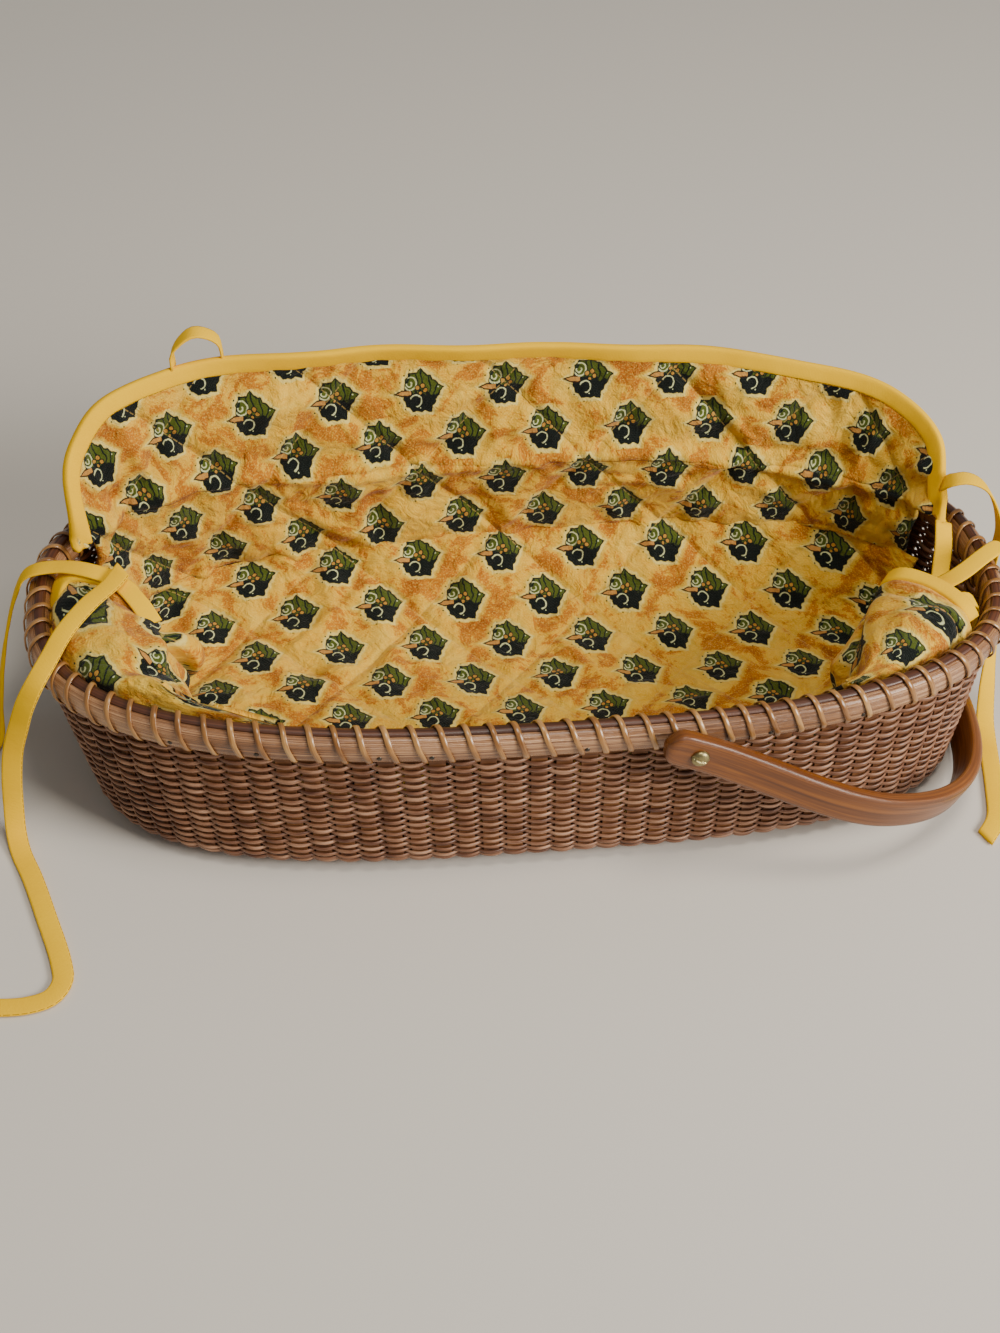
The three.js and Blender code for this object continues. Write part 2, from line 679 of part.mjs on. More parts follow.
// Handle: one steamed strip bent to a deep U, its ends rounded past the pivots.
function handleBail() {
  const middle = HANDLE_THICKNESS / 2;
  const overLashing = LASHING_SEAT + LASHING_THICKNESS + HANDLE_END_GAP;
  const reach = RIM_LENGTH / 2 - PIVOT_X + overLashing + middle;
  const halfSpan = ARM_INNER_Y + middle;
  const narrow = ovalWalk(reach, halfSpan, HANDLE_SQUARENESS);
  // The arms spread as they leave the pivots, before the bow draws them in
  const flared = (share) => {
    const { point } = narrow(share);
    const spread = THREE.MathUtils.smoothstep(point.x, 0, HANDLE_FLARE_RUN);
    return new THREE.Vector2(point.x, point.y * (1 + (HANDLE_FLARE / halfSpan) * spread));
  };
  const walk = (share) => {
    const nudge = 1 / HANDLE_NORMAL_STEPS;
    const along = flared(share + nudge).sub(flared(share - nudge)).normalize();
    return { point: flared(share), normal: new THREE.Vector2(along.y, -along.x) };
  };
  const section = (x, y, normal, widthShare) => {
    const t = middle;
    const w = (HANDLE_WIDTH / 2) * widthShare;
    const c = HANDLE_CHAMFER;
    const corners = [
      [c - t, w],
      [t - c, w],
      [t, w - c],
      [t, c - w],
      [t - c, -w],
      [c - t, -w],
      [-t, c - w],
      [-t, w - c],
    ];
    return corners.map(([n, z]) => new THREE.Vector3(x + normal.x * n, y + normal.y * n, z));
  };
  const outwardFront = new THREE.Vector2(0, -1);
  const outwardBack = new THREE.Vector2(0, 1);
  const rings = [];
  HANDLE_TAIL_SHARES.forEach(([place, width]) => {
    rings.push(section(-HANDLE_TAIL * place, -halfSpan, outwardFront, width));
  });
  for (let i = 0; i <= HANDLE_BOW_STEPS; i++) {
    const { point, normal } = walk((i / HANDLE_BOW_STEPS - 0.5) / 2);
    rings.push(section(point.x, point.y, normal, 1));
  }
  HANDLE_TAIL_SHARES.slice().reverse().forEach(([place, width]) => {
    rings.push(section(-HANDLE_TAIL * place, halfSpan, outwardBack, width));
  });
  const bore = pivotBore(SCREW_RADIUS + CLEARANCE).translate(-PIVOT_X, 0, -PIVOT_Z);
  return cut(skinOver(rings, false), [bore]);
}

// A turned piece along Y, from a profile of [radius, distance outward]. Side is -1 or 1.
function turnedAlongY(profile, side) {
  const points = profile.map(([radius, out]) => new THREE.Vector2(radius, out));
  const turned = new THREE.LatheGeometry(points, HARDWARE_SIDES);
  if (side < 0) turned.rotateX(Math.PI);
  return turned.translate(PIVOT_X, 0, PIVOT_Z);
}

// Screw: a slotted round head outside the arm, its shank through arm, spacer and rim.
function pivotScrew(side) {
  const seat = ARM_OUTER_Y + CLEARANCE;
  const crown = seat + SCREW_HEAD_HEIGHT;
  const [shoulderRadiusShare, shoulderHeightShare] = HEAD_SHOULDER_SHARES;
  const profile = [
    [0, SHANK_END_Y],
    [SCREW_RADIUS, SHANK_END_Y],
    [SCREW_RADIUS, seat],
    [SCREW_HEAD_RADIUS, seat],
    [SCREW_HEAD_RADIUS * shoulderRadiusShare, seat + SCREW_HEAD_HEIGHT * shoulderHeightShare],
    [0, crown],
  ];
  const head = turnedAlongY(profile, side);
  const slotLength = 2 * SCREW_HEAD_RADIUS + OVERRUN;
  const slot = new THREE.BoxGeometry(slotLength, 2 * SCREW_SLOT_DEPTH, SCREW_SLOT_WIDTH);
  slot.rotateY(THREE.MathUtils.degToRad(SCREW_SLOT_ANGLE));
  slot.translate(PIVOT_X, side * crown, PIVOT_Z);
  return cut(head, [slot]);
}

// Spacer: a thin sleeve on the shank that keeps the arm off the lashing.
function pivotSpacer(side) {
  const from = PIVOT.y + CLEARANCE;
  const to = ARM_INNER_Y - CLEARANCE;
  const bore = SCREW_RADIUS + CLEARANCE;
  const profile = [
    [bore, from],
    [SPACER_RADIUS, from],
    [SPACER_RADIUS, to],
    [bore, to],
    [bore, from],
  ];
  return turnedAlongY(profile, side);
}

// Dome nut: closes the screw on the inside of the rim, over the lashing.
function pivotNut(side) {
  const socket = SCREW_RADIUS + CLEARANCE;
  const socketEnd = SHANK_END_Y - CLEARANCE;
  const domeBase = NUT_SEAT_Y - NUT_BASE_HEIGHT;
  const [shoulderRadiusShare, shoulderHeightShare] = NUT_DOME_SHARES;
  const profile = [
    [0, domeBase - NUT_DOME_HEIGHT],
    [NUT_RADIUS * shoulderRadiusShare, domeBase - NUT_DOME_HEIGHT * shoulderHeightShare],
    [NUT_RADIUS, domeBase],
    [NUT_RADIUS, NUT_SEAT_Y],
    [socket, NUT_SEAT_Y],
    [socket, socketEnd],
    [0, socketEnd],
  ];
  return turnedAlongY(profile, side);
}

// Tack: a small head on the outer hoop's flat, low on its face.
function rimTack(station) {
  const height = RIM_BASE_HEIGHT + HOOP_SHOULDER + TACK_RADIUS;
  const seat = wallPoint(station, -CLEARANCE, RIM_TOP).setZ(height);
  const tip = wallPoint(station, -CLEARANCE - TACK_HEIGHT, RIM_TOP).setZ(height);
  const crown = TACK_RADIUS * TACK_CROWN_SHARE;
  const head = new THREE.CylinderGeometry(crown, TACK_RADIUS, TACK_HEIGHT, TACK_SIDES);
  const upward = new THREE.Vector3(0, 1, 0);
  const outward = tip.clone().sub(seat).normalize();
  head.applyQuaternion(new THREE.Quaternion().setFromUnitVectors(upward, outward));
  const middle = seat.add(tip).multiplyScalar(0.5);
  return head.translate(middle.x, middle.y, middle.z);
}

// Liner: quilted panels that stand inside the rim, clear of the nuts
const linerPoint = (station, depth, height) => wallPoint(station, LINER_INSET + depth, height);

// A panel standing along the wall. rowsAt gives its wall side as [depth, height] rows,
// bottom first, at a share of the way along.
function standingPanel(from, to, columns, rowsAt) {
  const rowCount = rowsAt(0).length;
  const grid = [];
  for (let row = 0; row < rowCount; row++) {
    const line = [];
    for (let column = 0; column <= columns; column++) {
      const share = column / columns;
      const station = THREE.MathUtils.lerp(from, to, share);
      line.push(linerPoint(station, ...rowsAt(share)[row]));
    }
    grid.push(line);
  }
  return sheetUnder(grid, QUILT_THICKNESS);
}

// A folded tape along a panel's top edge. edgeAt gives [depth, height] of the edge and the
// unit step away from it.
function panelBinding(from, to, columns, edgeAt) {
  const rings = [];
  for (let column = 0; column <= columns; column++) {
    const share = column / columns;
    const station = THREE.MathUtils.lerp(from, to, share);
    const { depth, height, awayDepth, awayHeight } = edgeAt(share);
    const corner = (away, thick) =>
      linerPoint(
        station,
        depth + awayDepth * away + awayHeight * thick,
        height + awayHeight * away - awayDepth * thick,
      );
    const near = CLEARANCE;
    const far = CLEARANCE + TAPE_WIDTH;
    const outer = (QUILT_THICKNESS - BINDING_THICKNESS) / 2;
    const inner = (QUILT_THICKNESS + BINDING_THICKNESS) / 2;
    rings.push([corner(near, inner), corner(far, inner), corner(far, outer), corner(near, outer)]);
  }
  return skinOver(rings, false);
}

const FLOOR_HEIGHT = BOARD_THICKNESS + CLEARANCE + QUILT_THICKNESS;
const PANEL_FOOT = FLOOR_HEIGHT + CLEARANCE;
const SPLIT_HEIGHT = RIM_TOP + LASHING_SEAT + LASHING_THICKNESS + CLEARANCE;
const seamHeight = (share) =>
  PANEL_FOOT + THREE.MathUtils.lerp(SEAM_HEIGHT_LEFT, SEAM_HEIGHT_RIGHT, share);

// Floor quilt: flat on the board, rising at the back to the seam under the back panel.
function linerFloor() {
  const edge = QUILT_THICKNESS + 2 * CLEARANCE;
  const grid = FLOOR_DEPTH_SHARES.map((depthShare) => {
    const rise = Math.max(depthShare - FLOOR_RISE_SHARE, 0) / (1 - FLOOR_RISE_SHARE);
    const line = [];
    for (let i = 0; i <= FLOOR_COLUMNS; i++) {
      const share = i / FLOOR_COLUMNS;
      const station = THREE.MathUtils.lerp(...FLOOR_STATIONS, share);
      const seam = seamHeight(share) - CLEARANCE;
      const front = linerPoint(-station, edge, FLOOR_HEIGHT);
      const back = linerPoint(station, edge, THREE.MathUtils.lerp(FLOOR_HEIGHT, seam, rise));
      const lift = (seam - FLOOR_HEIGHT) * rise ** FLOOR_RISE_POWER;
      line.push(front.lerp(back, depthShare).setZ(FLOOR_HEIGHT + lift));
    }
    return line;
  });
  return sheetUnder(grid, QUILT_THICKNESS);
}

// Front panel: lower than the rim, its top edge waving a little.
const frontWave = (share) => FRONT_WAVE_DEPTH * (1 - Math.cos(2 * Math.PI * FRONT_WAVES * share));

function linerFrontPanel() {
  return standingPanel(...FRONT_PANEL_STATIONS, FRONT_PANEL_COLUMNS, (share) => {
    const wave = frontWave(share);
    return [
      [0, PANEL_FOOT],
      [wave / 2, PANEL_FOOT + FRONT_PANEL_HEIGHT / 2],
      [wave, PANEL_FOOT + FRONT_PANEL_HEIGHT],
    ];
  });
}

function frontBinding() {
  return panelBinding(...FRONT_PANEL_STATIONS, FRONT_PANEL_COLUMNS, (share) => ({
    depth: frontWave(share),
    height: PANEL_FOOT + FRONT_PANEL_HEIGHT,
    awayDepth: 0,
    awayHeight: 1,
  }));
}

function linerBackPanel() {
  return standingPanel(...BACK_PANEL_STATIONS, BACK_PANEL_COLUMNS, (share) => {
    const low = seamHeight(1 - share);
    const high = SPLIT_HEIGHT - CLEARANCE;
    return [[0, low], [0, (low + high) / 2], [0, high]];
  });
}

// End panels: taller than the wall, so they buckle inward and fold back to the rim.
const END_PROFILE_SHARES = [
  [0.84, 0],
  [0.84, 0.3],
  [1, 0.82],
  [0.86, 0.94],
  [0.28, 0.985],
];
const END_TOP_HEIGHT = RIM_BASE_HEIGHT + HOOP_HEIGHT * END_RISE_SHARE - PANEL_FOOT;
const END_ROWS = END_PROFILE_SHARES.map(([reach, rise]) => [
  END_FOLD_REACH * reach,
  PANEL_FOOT + END_TOP_HEIGHT * rise,
]);
const endRows = () => END_ROWS;

const endEdge = () => {
  const [depth, height] = END_ROWS[END_ROWS.length - 1];
  return { depth, height, awayDepth: -1, awayHeight: 0 };
};

// Back flap: the part of the back panel that stands above the rim, leaning back a little.
// Its outline is drawn flat, as [distance along the rim, height], from the right end.
const FLAP_ARC = staveSpacing();
const FLAP_LEAN = THREE.MathUtils.degToRad(FLAP_LEAN_ANGLE);
const flapOutline = new THREE.CatmullRomCurve3(
  FLAP_OUTLINE_SHARES.map(
    ([alongShare, heightShare]) =>
      new THREE.Vector3(alongShare * STAVE_COUNT * FLAP_ARC, heightShare * FLAP_HEIGHT, 0),
  ),
  false,
  "centripetal",
);

function flapPoint(along, height, depth) {
  const station = along / FLAP_ARC;
  const foot = linerPoint(station, 0, RIM_TOP);
  const inner = linerPoint(station, 1, RIM_TOP);
  const outward = foot.clone().sub(inner);
  const phase = (2 * Math.PI * FLAP_FOLDS * station) / STAVE_COUNT;
  const fold = FLAP_FOLD_DEPTH * Math.sin(2 * phase) * (height / FLAP_HEIGHT);
  const out = Math.sin(FLAP_LEAN) * height - Math.cos(FLAP_LEAN) * depth + fold;
  const up = Math.cos(FLAP_LEAN) * height + Math.sin(FLAP_LEAN) * depth;
  return foot.addScaledVector(outward, out).setZ(SPLIT_HEIGHT + up);
}

// The outline moved inward, at even steps along it
function flapEdge(inward, steps) {
  const edge = [];
  for (let i = 0; i <= steps; i++) {
    const point = flapOutline.getPointAt(i / steps);
    const tangent = flapOutline.getTangentAt(i / steps);
    edge.push([point.x + tangent.y * inward, point.y - tangent.x * inward]);
  }
  return edge;
}

function linerBackFlap() {
  const wholeEdge = flapEdge(TAPE_WIDTH + 2 * CLEARANCE, FLAP_FINE_STEPS);
  const edge = wholeEdge.filter(([, height]) => height > QUILT_THICKNESS);
  const first = edge[0][0];
  const last = edge[edge.length - 1][0];
  const heightAt = (along) => {
    const i = Math.max(edge.findIndex(([x]) => x >= along), 1);
    const [x0, h0] = edge[i - 1];
    const [x1, h1] = edge[i];
    return THREE.MathUtils.lerp(h0, h1, Math.min(Math.max((along - x0) / (x1 - x0), 0), 1));
  };
  const grid = [];
  for (let row = 0; row <= FLAP_ROWS; row++) {
    const line = [];
    for (let column = 0; column <= FLAP_COLUMNS; column++) {
      const even = column / FLAP_COLUMNS;
      const crowded = (1 - Math.cos(Math.PI * even)) / 2;
      const share = THREE.MathUtils.lerp(even, crowded, FLAP_END_CROWDING_SHARE);
      const along = THREE.MathUtils.lerp(first, last, share);
      line.push(flapPoint(along, (heightAt(along) * row) / FLAP_ROWS, 0));
    }
    grid.push(line);
  }
  return sheetUnder(grid, QUILT_THICKNESS);
}

function flapBinding() {
  const inner = flapEdge(TAPE_WIDTH, FLAP_BINDING_STEPS);
  const outer = flapEdge(0, FLAP_BINDING_STEPS);
  const wallSide = (QUILT_THICKNESS - BINDING_THICKNESS) / 2;
  const basketSide = (QUILT_THICKNESS + BINDING_THICKNESS) / 2;
  const level = ([along, height], depth) => flapPoint(along, Math.max(height, 0), depth);
  const rings = outer.map((far, i) => [
    level(inner[i], basketSide),
    level(far, basketSide),
    level(far, wallSide),
    level(inner[i], wallSide),
  ]);
  return skinOver(rings, false);
}

// Ties: lengths of the same tape as the bindings, each drawn through hand-placed points
// [x, y, z, turn], where turn tilts the tape's width from level, in degrees.
function tie(points) {
  const places = points.map(([x, y, z]) => new THREE.Vector3(x, y, z));
  const curve = new THREE.CatmullRomCurve3(places);
  const steps = Math.max(Math.round(curve.getLength() / TIE_STEP), TIE_LEAST_STEPS);
  const rings = [];
  for (let i = 0; i <= steps; i++) {
    const share = i / steps;
    const centre = curve.getPointAt(share);
    const along = curve.getTangentAt(share);
    const place = curve.getUtoTmapping(share) * (points.length - 1);
    const low = Math.min(Math.floor(place), points.length - 2);
    const turn = THREE.MathUtils.lerp(points[low][3], points[low + 1][3], place - low);
    const heading = THREE.MathUtils.degToRad(turn);
    const wide = new THREE.Vector3(Math.cos(heading), Math.sin(heading), 0);
    wide.addScaledVector(along, -wide.dot(along)).normalize();
    const face = along.clone().cross(wide);
    rings.push(
      TAPE_SECTION_SHARES.map(([w, t]) =>
        centre
          .clone()
          .addScaledVector(wide, (w * TAPE_WIDTH) / 2)
          .addScaledVector(face, (t * TAPE_THICKNESS) / 2),
      ),
    );
  }
  return skinOver(rings, false);
}

const bored = (geometry) => cut(geometry, [pivotBore(SCREW_RADIUS + CLEARANCE)]);

addPiece("base_board", baseBoard(), MATERIALS.board);
addPiece("staves", bored(staveCage()), MATERIALS.stave);
addPiece("woven_wall", wovenWall(), MATERIALS.cane);
addPiece("outer_hoop", bored(ringAround(onRim(OUTER_HOOP_SECTION))), MATERIALS.hoop);
addPiece("inner_hoop", bored(ringAround(onRim(INNER_HOOP_SECTION))), MATERIALS.hoop);
addPiece("rim_filler", ringAround(onRim(FILLER_SECTION)), MATERIALS.filler);
addPiece("rim_lashing", rimLashing(), MATERIALS.lashing);
TACK_STATIONS.forEach((station, i) => addPiece(`rim_tack_${i + 1}`, rimTack(station), MATERIALS.nut));

const handle = addPiece("handle", handleBail(), MATERIALS.bentwood);
handle.position.set(PIVOT_X, 0, PIVOT_Z);
handle.rotation.y = THREE.MathUtils.degToRad(HANDLE_DROP_ANGLE);
for (const [name, side] of [["front", -1], ["back", 1]]) {
  addPiece(`pivot_screw_${name}`, pivotScrew(side), MATERIALS.screw);
  addPiece(`pivot_spacer_${name}`, pivotSpacer(side), MATERIALS.screw);
  addPiece(`pivot_nut_${name}`, pivotNut(side), MATERIALS.nut);
}

addPiece("liner_floor", linerFloor(), MATERIALS.quilt);
addPiece("liner_front_panel", linerFrontPanel(), MATERIALS.quilt);
addPiece("liner_back_panel", linerBackPanel(), MATERIALS.quilt);
addPiece("liner_back_flap", linerBackFlap(), MATERIALS.quilt);
addPiece("binding_front", frontBinding(), MATERIALS.tape);
addPiece("binding_back_flap", flapBinding(), MATERIALS.tape);
for (const [name, stations] of [["left", LEFT_END_STATIONS], ["right", RIGHT_END_STATIONS]]) {
  addPiece(`liner_${name}_end`, standingPanel(...stations, END_COLUMNS, endRows), MATERIALS.quilt);
  addPiece(`binding_${name}_end`, panelBinding(...stations, END_COLUMNS, endEdge), MATERIALS.tape);
}
Object.entries(SEWN_TAPES).forEach(([name, rows]) => {
  const points = rows.map(([station, depth, rise, heading]) => {
    const place = linerPoint(station, depth, SPLIT_HEIGHT + rise);
    return [...place.toArray(), heading];
  });
  addPiece(name, tie(points), MATERIALS.tape);
});
Object.entries(TIES).forEach(([name, points]) => addPiece(name, tie(points), MATERIALS.tape));

export default basket;
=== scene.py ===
# Lined oval basket: cane weave on a board base, a lashed rim, a bentwood handle on two
# screws, and a loose quilted cotton liner bound with bias tape and tied at its ends.
import math
from functools import partial

import bmesh
import bpy
import numpy as np
from mathutils import Matrix, Vector


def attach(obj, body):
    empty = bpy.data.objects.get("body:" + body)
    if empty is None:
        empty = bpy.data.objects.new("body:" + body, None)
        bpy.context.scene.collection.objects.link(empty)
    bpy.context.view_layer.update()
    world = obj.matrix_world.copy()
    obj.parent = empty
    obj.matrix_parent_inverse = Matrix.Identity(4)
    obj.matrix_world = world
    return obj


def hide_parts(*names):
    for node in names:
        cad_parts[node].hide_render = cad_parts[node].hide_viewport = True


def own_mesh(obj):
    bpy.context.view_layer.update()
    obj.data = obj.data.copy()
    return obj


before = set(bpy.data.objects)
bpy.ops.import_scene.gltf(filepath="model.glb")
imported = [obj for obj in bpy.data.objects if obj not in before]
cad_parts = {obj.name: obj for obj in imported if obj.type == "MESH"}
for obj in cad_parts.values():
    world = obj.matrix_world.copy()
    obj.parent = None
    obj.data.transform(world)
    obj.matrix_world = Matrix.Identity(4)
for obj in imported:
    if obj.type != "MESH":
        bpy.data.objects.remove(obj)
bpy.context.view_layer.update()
MM = 0.001

# ---------------------------------------------------------------------------
# Camera: a hand-held view from above the front, a little left of the middle.
# The frame is 1000 x 1333, and the lens is 1900 px of it.
PHOTO_HEIGHT_PX = 1333
LENS_PX = 1900
CAMERA_PLACE = Vector((-118.6977, -580.2962, 579.5648)) * MM
CAMERA_PITCH, CAMERA_ROLL, CAMERA_YAW = 0.7502, 0.0729, 0.1876

photo_camera = bpy.data.objects.new("photo_camera", bpy.data.cameras.new("photo_camera"))
bpy.context.scene.collection.objects.link(photo_camera)
photo_camera.data.sensor_fit = "VERTICAL"
photo_camera.data.sensor_height = 36
photo_camera.data.lens = LENS_PX / PHOTO_HEIGHT_PX * 36
forward = Vector((
    math.sin(CAMERA_YAW) * math.cos(CAMERA_PITCH),
    math.cos(CAMERA_YAW) * math.cos(CAMERA_PITCH),
    -math.sin(CAMERA_PITCH),
))
level = Vector((math.cos(CAMERA_YAW), -math.sin(CAMERA_YAW), 0))
rise = level.cross(forward)
right = level * math.cos(CAMERA_ROLL) + rise * math.sin(CAMERA_ROLL)
upward = rise * math.cos(CAMERA_ROLL) - level * math.sin(CAMERA_ROLL)
photo_camera.matrix_world = (
    Matrix.Translation(CAMERA_PLACE) @ Matrix((right, upward, -forward)).transposed().to_4x4()
)
bpy.context.scene.camera = photo_camera


# ---------------------------------------------------------------------------
# Ribbon ties: lengths of the liner's own bias tape, folded in half and stitched along
# the open edge. Four long ones lie over the rim and on the table, one is a short tail
# and one a small loop. Plain-woven cotton, so matt, soft and slightly fuzzy.
TAPE_WIDTH = 8 * MM
TAPE_THICKNESS = 1.2 * MM
TAPE_STEP = 2.4 * MM
TAPE_AROUND = 12


def linear(code):
    """An sRGB hex colour as the linear one that shaders take."""
    shares = [int(code[i:i + 2], 16) / 255 for i in (1, 3, 5)]
    return [c / 12.92 if c <= 0.04045 else ((c + 0.055) / 1.055) ** 2.4 for c in shares] + [1]


def add_node(tree, kind, inputs=(), operation="", stops=(), **settings):
    """Adds a node. inputs gives its sockets, by name or in order, a value, a hex colour, or
    the node or output that they are linked to. stops are a ramp's, its two ends first."""
    node = tree.nodes.new("ShaderNode" + kind)
    if operation:
        node.operation = operation
    for name, value in settings.items():
        setattr(node, name, value)
    for socket, value in inputs.items() if isinstance(inputs, dict) else enumerate(inputs):
        if isinstance(value, bpy.types.Node):
            value = next(output for output in value.outputs if output.enabled)
        if isinstance(value, bpy.types.NodeSocket):
            tree.links.new(value, node.inputs[socket])
        else:
            node.inputs[socket].default_value = linear(value) if isinstance(value, str) else value
    for index, (spot, shade) in enumerate(stops):
        ramp = node.color_ramp.elements
        stop = ramp[index] if index < 2 else ramp.new(spot)
        stop.position, stop.color = spot, linear(shade) if isinstance(shade, str) else shade
    return node


def start_material(name):
    """An empty material, and the function that adds nodes to it."""
    material = bpy.data.materials.new(name)
    material.use_nodes = True
    material.node_tree.nodes.clear()
    return material, partial(add_node, material.node_tree)


def spline(points, places):
    """Centripetal curve through points, read at places counted in points from the first."""
    points = np.asarray(points, float)
    padded = np.vstack([2 * points[0] - points[1], points, 2 * points[-1] - points[-2]])
    gaps = np.maximum(np.linalg.norm(np.diff(padded[:, :3], axis=0), axis=1) ** 0.5, 1e-9)
    low = np.clip(np.floor(places).astype(int), 0, len(points) - 2)
    p0, p1, p2, p3 = (padded[low + k] for k in range(4))
    d0, d1, d2 = (gaps[low + k][:, None] for k in range(3))
    t = (np.asarray(places) - low)[:, None]
    start = ((p1 - p0) / d0 - (p2 - p0) / (d0 + d1) + (p2 - p1) / d1) * d1
    stop = ((p2 - p1) / d1 - (p3 - p1) / (d1 + d2) + (p3 - p2) / d2) * d1
    return (
        (2 * t**3 - 3 * t**2 + 1) * p1 + (t**3 - 2 * t**2 + t) * start
        + (3 * t**2 - 2 * t**3) * p2 + (t**3 - t**2) * stop
    )


def unit(vectors):
    return vectors / np.maximum(np.linalg.norm(vectors, axis=1, keepdims=True), 1e-12)


def squared(wave, power):
    """A sine or cosine with its shoulders pushed out, which squares a round section."""
    return np.sign(wave) * np.abs(wave) ** power


def run_along(points):
    """Distance along a line to each of its points."""
    return np.concatenate([[0], np.cumsum(np.linalg.norm(np.diff(points, axis=0), axis=1))])


def read_at(places, run, rows):
    """The rows of a line read at places along its run."""
    return np.array([np.interp(places, run, column) for column in rows.T]).T


def rings(u, steps, caps=1):
    """Rings of a strip whose ends are closed: each point's ring with the caps counted, its
    ring along the strip, and 0 where the cap comes to a point."""
    at = np.rint(u * (steps + 2 * caps)).astype(int)
    closing = np.where((at == 0) | (at == steps + 2 * caps), 0.0, 1.0)
    return at, np.clip(at - caps, 0, steps), closing


def stand(form, name):
    """Stands a finished bmesh in the scene."""
    mesh = bpy.data.meshes.new(name)
    form.to_mesh(mesh)
    form.free()
    piece = bpy.data.objects.new(name, mesh)
    bpy.context.scene.collection.objects.link(piece)
    return piece


def skin(name, along, around, place, chart):
    """A mesh laid over a grid. place turns the grid's two shares, each 0 to 1, into points.
    chart is the piece's real length and girth, or a function that gives its flat cloth
    points. The UV map keeps them in metres."""
    form = bmesh.new()
    bmesh.ops.create_grid(form, x_segments=along, y_segments=around, size=0.5)
    form.verts.index_update()
    shares = np.array([v.co[:2] for v in form.verts]) + 0.5
    points = place(*shares.T)
    charts = chart(*shares.T) if callable(chart) else shares * np.array(chart)
    layer = form.loops.layers.uv.new("UVMap")
    for face in form.faces:
        face.smooth = True
        for loop in face.loops:
            loop[layer].uv = charts[loop.vert.index]
    for vert, point in zip(form.verts, points):
        vert.co = point
    bmesh.ops.remove_doubles(form, verts=form.verts, dist=1e-7)
    bmesh.ops.dissolve_degenerate(form, dist=1e-8, edges=form.edges)
    bmesh.ops.recalc_face_normals(form, faces=form.faces)
    return stand(form, name)


def dress(piece, material, slot, body, *nodes):
    """Gives a new piece its material, its body and the nodes it stands for. slot is not used."""
    piece.data.materials.clear()
    piece.data.materials.append(material)
    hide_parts(*nodes)
    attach(piece, body)
    return piece


# Bias tape: dyed cotton in a plain weave, matt and soft. The threads are 0.35 mm apart
# in the real tape and drawn at 0.7 mm to show, and the seam is sunk into it.
STITCH_PITCH, STITCH_LENGTH, STITCH_HALF_WIDTH = 2.6 * MM, 1.9 * MM, 0.4 * MM


def make_bias_tape(name, dark, light, thread, seam_at, girth):
    material, add = start_material(name)
    chart = add("TexCoord").outputs["UV"]
    blotch = add("TexNoise", {"Vector": chart, "Scale": 45, "Detail": 4})
    parts = add("SeparateXYZ", [chart])
    across = add("Math", [parts.outputs[1], girth], "MODULO")
    off_seam = add("Math", [across, seam_at], "SUBTRACT")
    off_seam = add("Math", [off_seam], "ABSOLUTE")
    on_seam = add("Math", [off_seam, STITCH_HALF_WIDTH], "LESS_THAN")
    beat = add("Math", [parts.outputs[0], STITCH_PITCH], "MODULO")
    in_stitch = add("Math", [beat, STITCH_LENGTH], "LESS_THAN")
    stitch = add("Math", [on_seam, in_stitch], "MULTIPLY")
    colour = add("Mix", {0: blotch, 6: dark, 7: light}, data_type="RGBA")
    colour = add("Mix", {0: stitch, 6: colour, 7: thread}, data_type="RGBA")
    threads = add("Mapping", {"Vector": chart, "Scale": (1450, 1450, 1)})
    weave = add("TexChecker", {"Vector": threads, "Scale": 1.0})
    fuzz = add("TexNoise", {"Vector": chart, "Scale": 420, "Detail": 3})
    relief = add("Math", [weave.outputs[1], 0.35, fuzz], "MULTIPLY_ADD")
    groove = add("MapRange", [off_seam, 0.0, 0.9 * MM, 0.0, 2.2])
    relief = add("Math", [relief, groove], "ADD")
    bump = add("Bump", {"Strength": 0.5, "Distance": 0.22 * MM, "Height": relief})
    shader = add("BsdfPrincipled", {
        "Base Color": colour, "Roughness": 0.88, "Normal": bump,
        "Sheen Weight": 0.02, "Sheen Roughness": 0.5, "Specular IOR Level": 0.08,
    })
    add("OutputMaterial", [shader])
    return material


TAPE_GIRTH = 2 * (TAPE_WIDTH + TAPE_THICKNESS)
ribbon_cotton = make_bias_tape("ribbon_cotton", "#EEB800", "#FACC00", "#A87806",
                               0.085 * TAPE_GIRTH, TAPE_GIRTH)

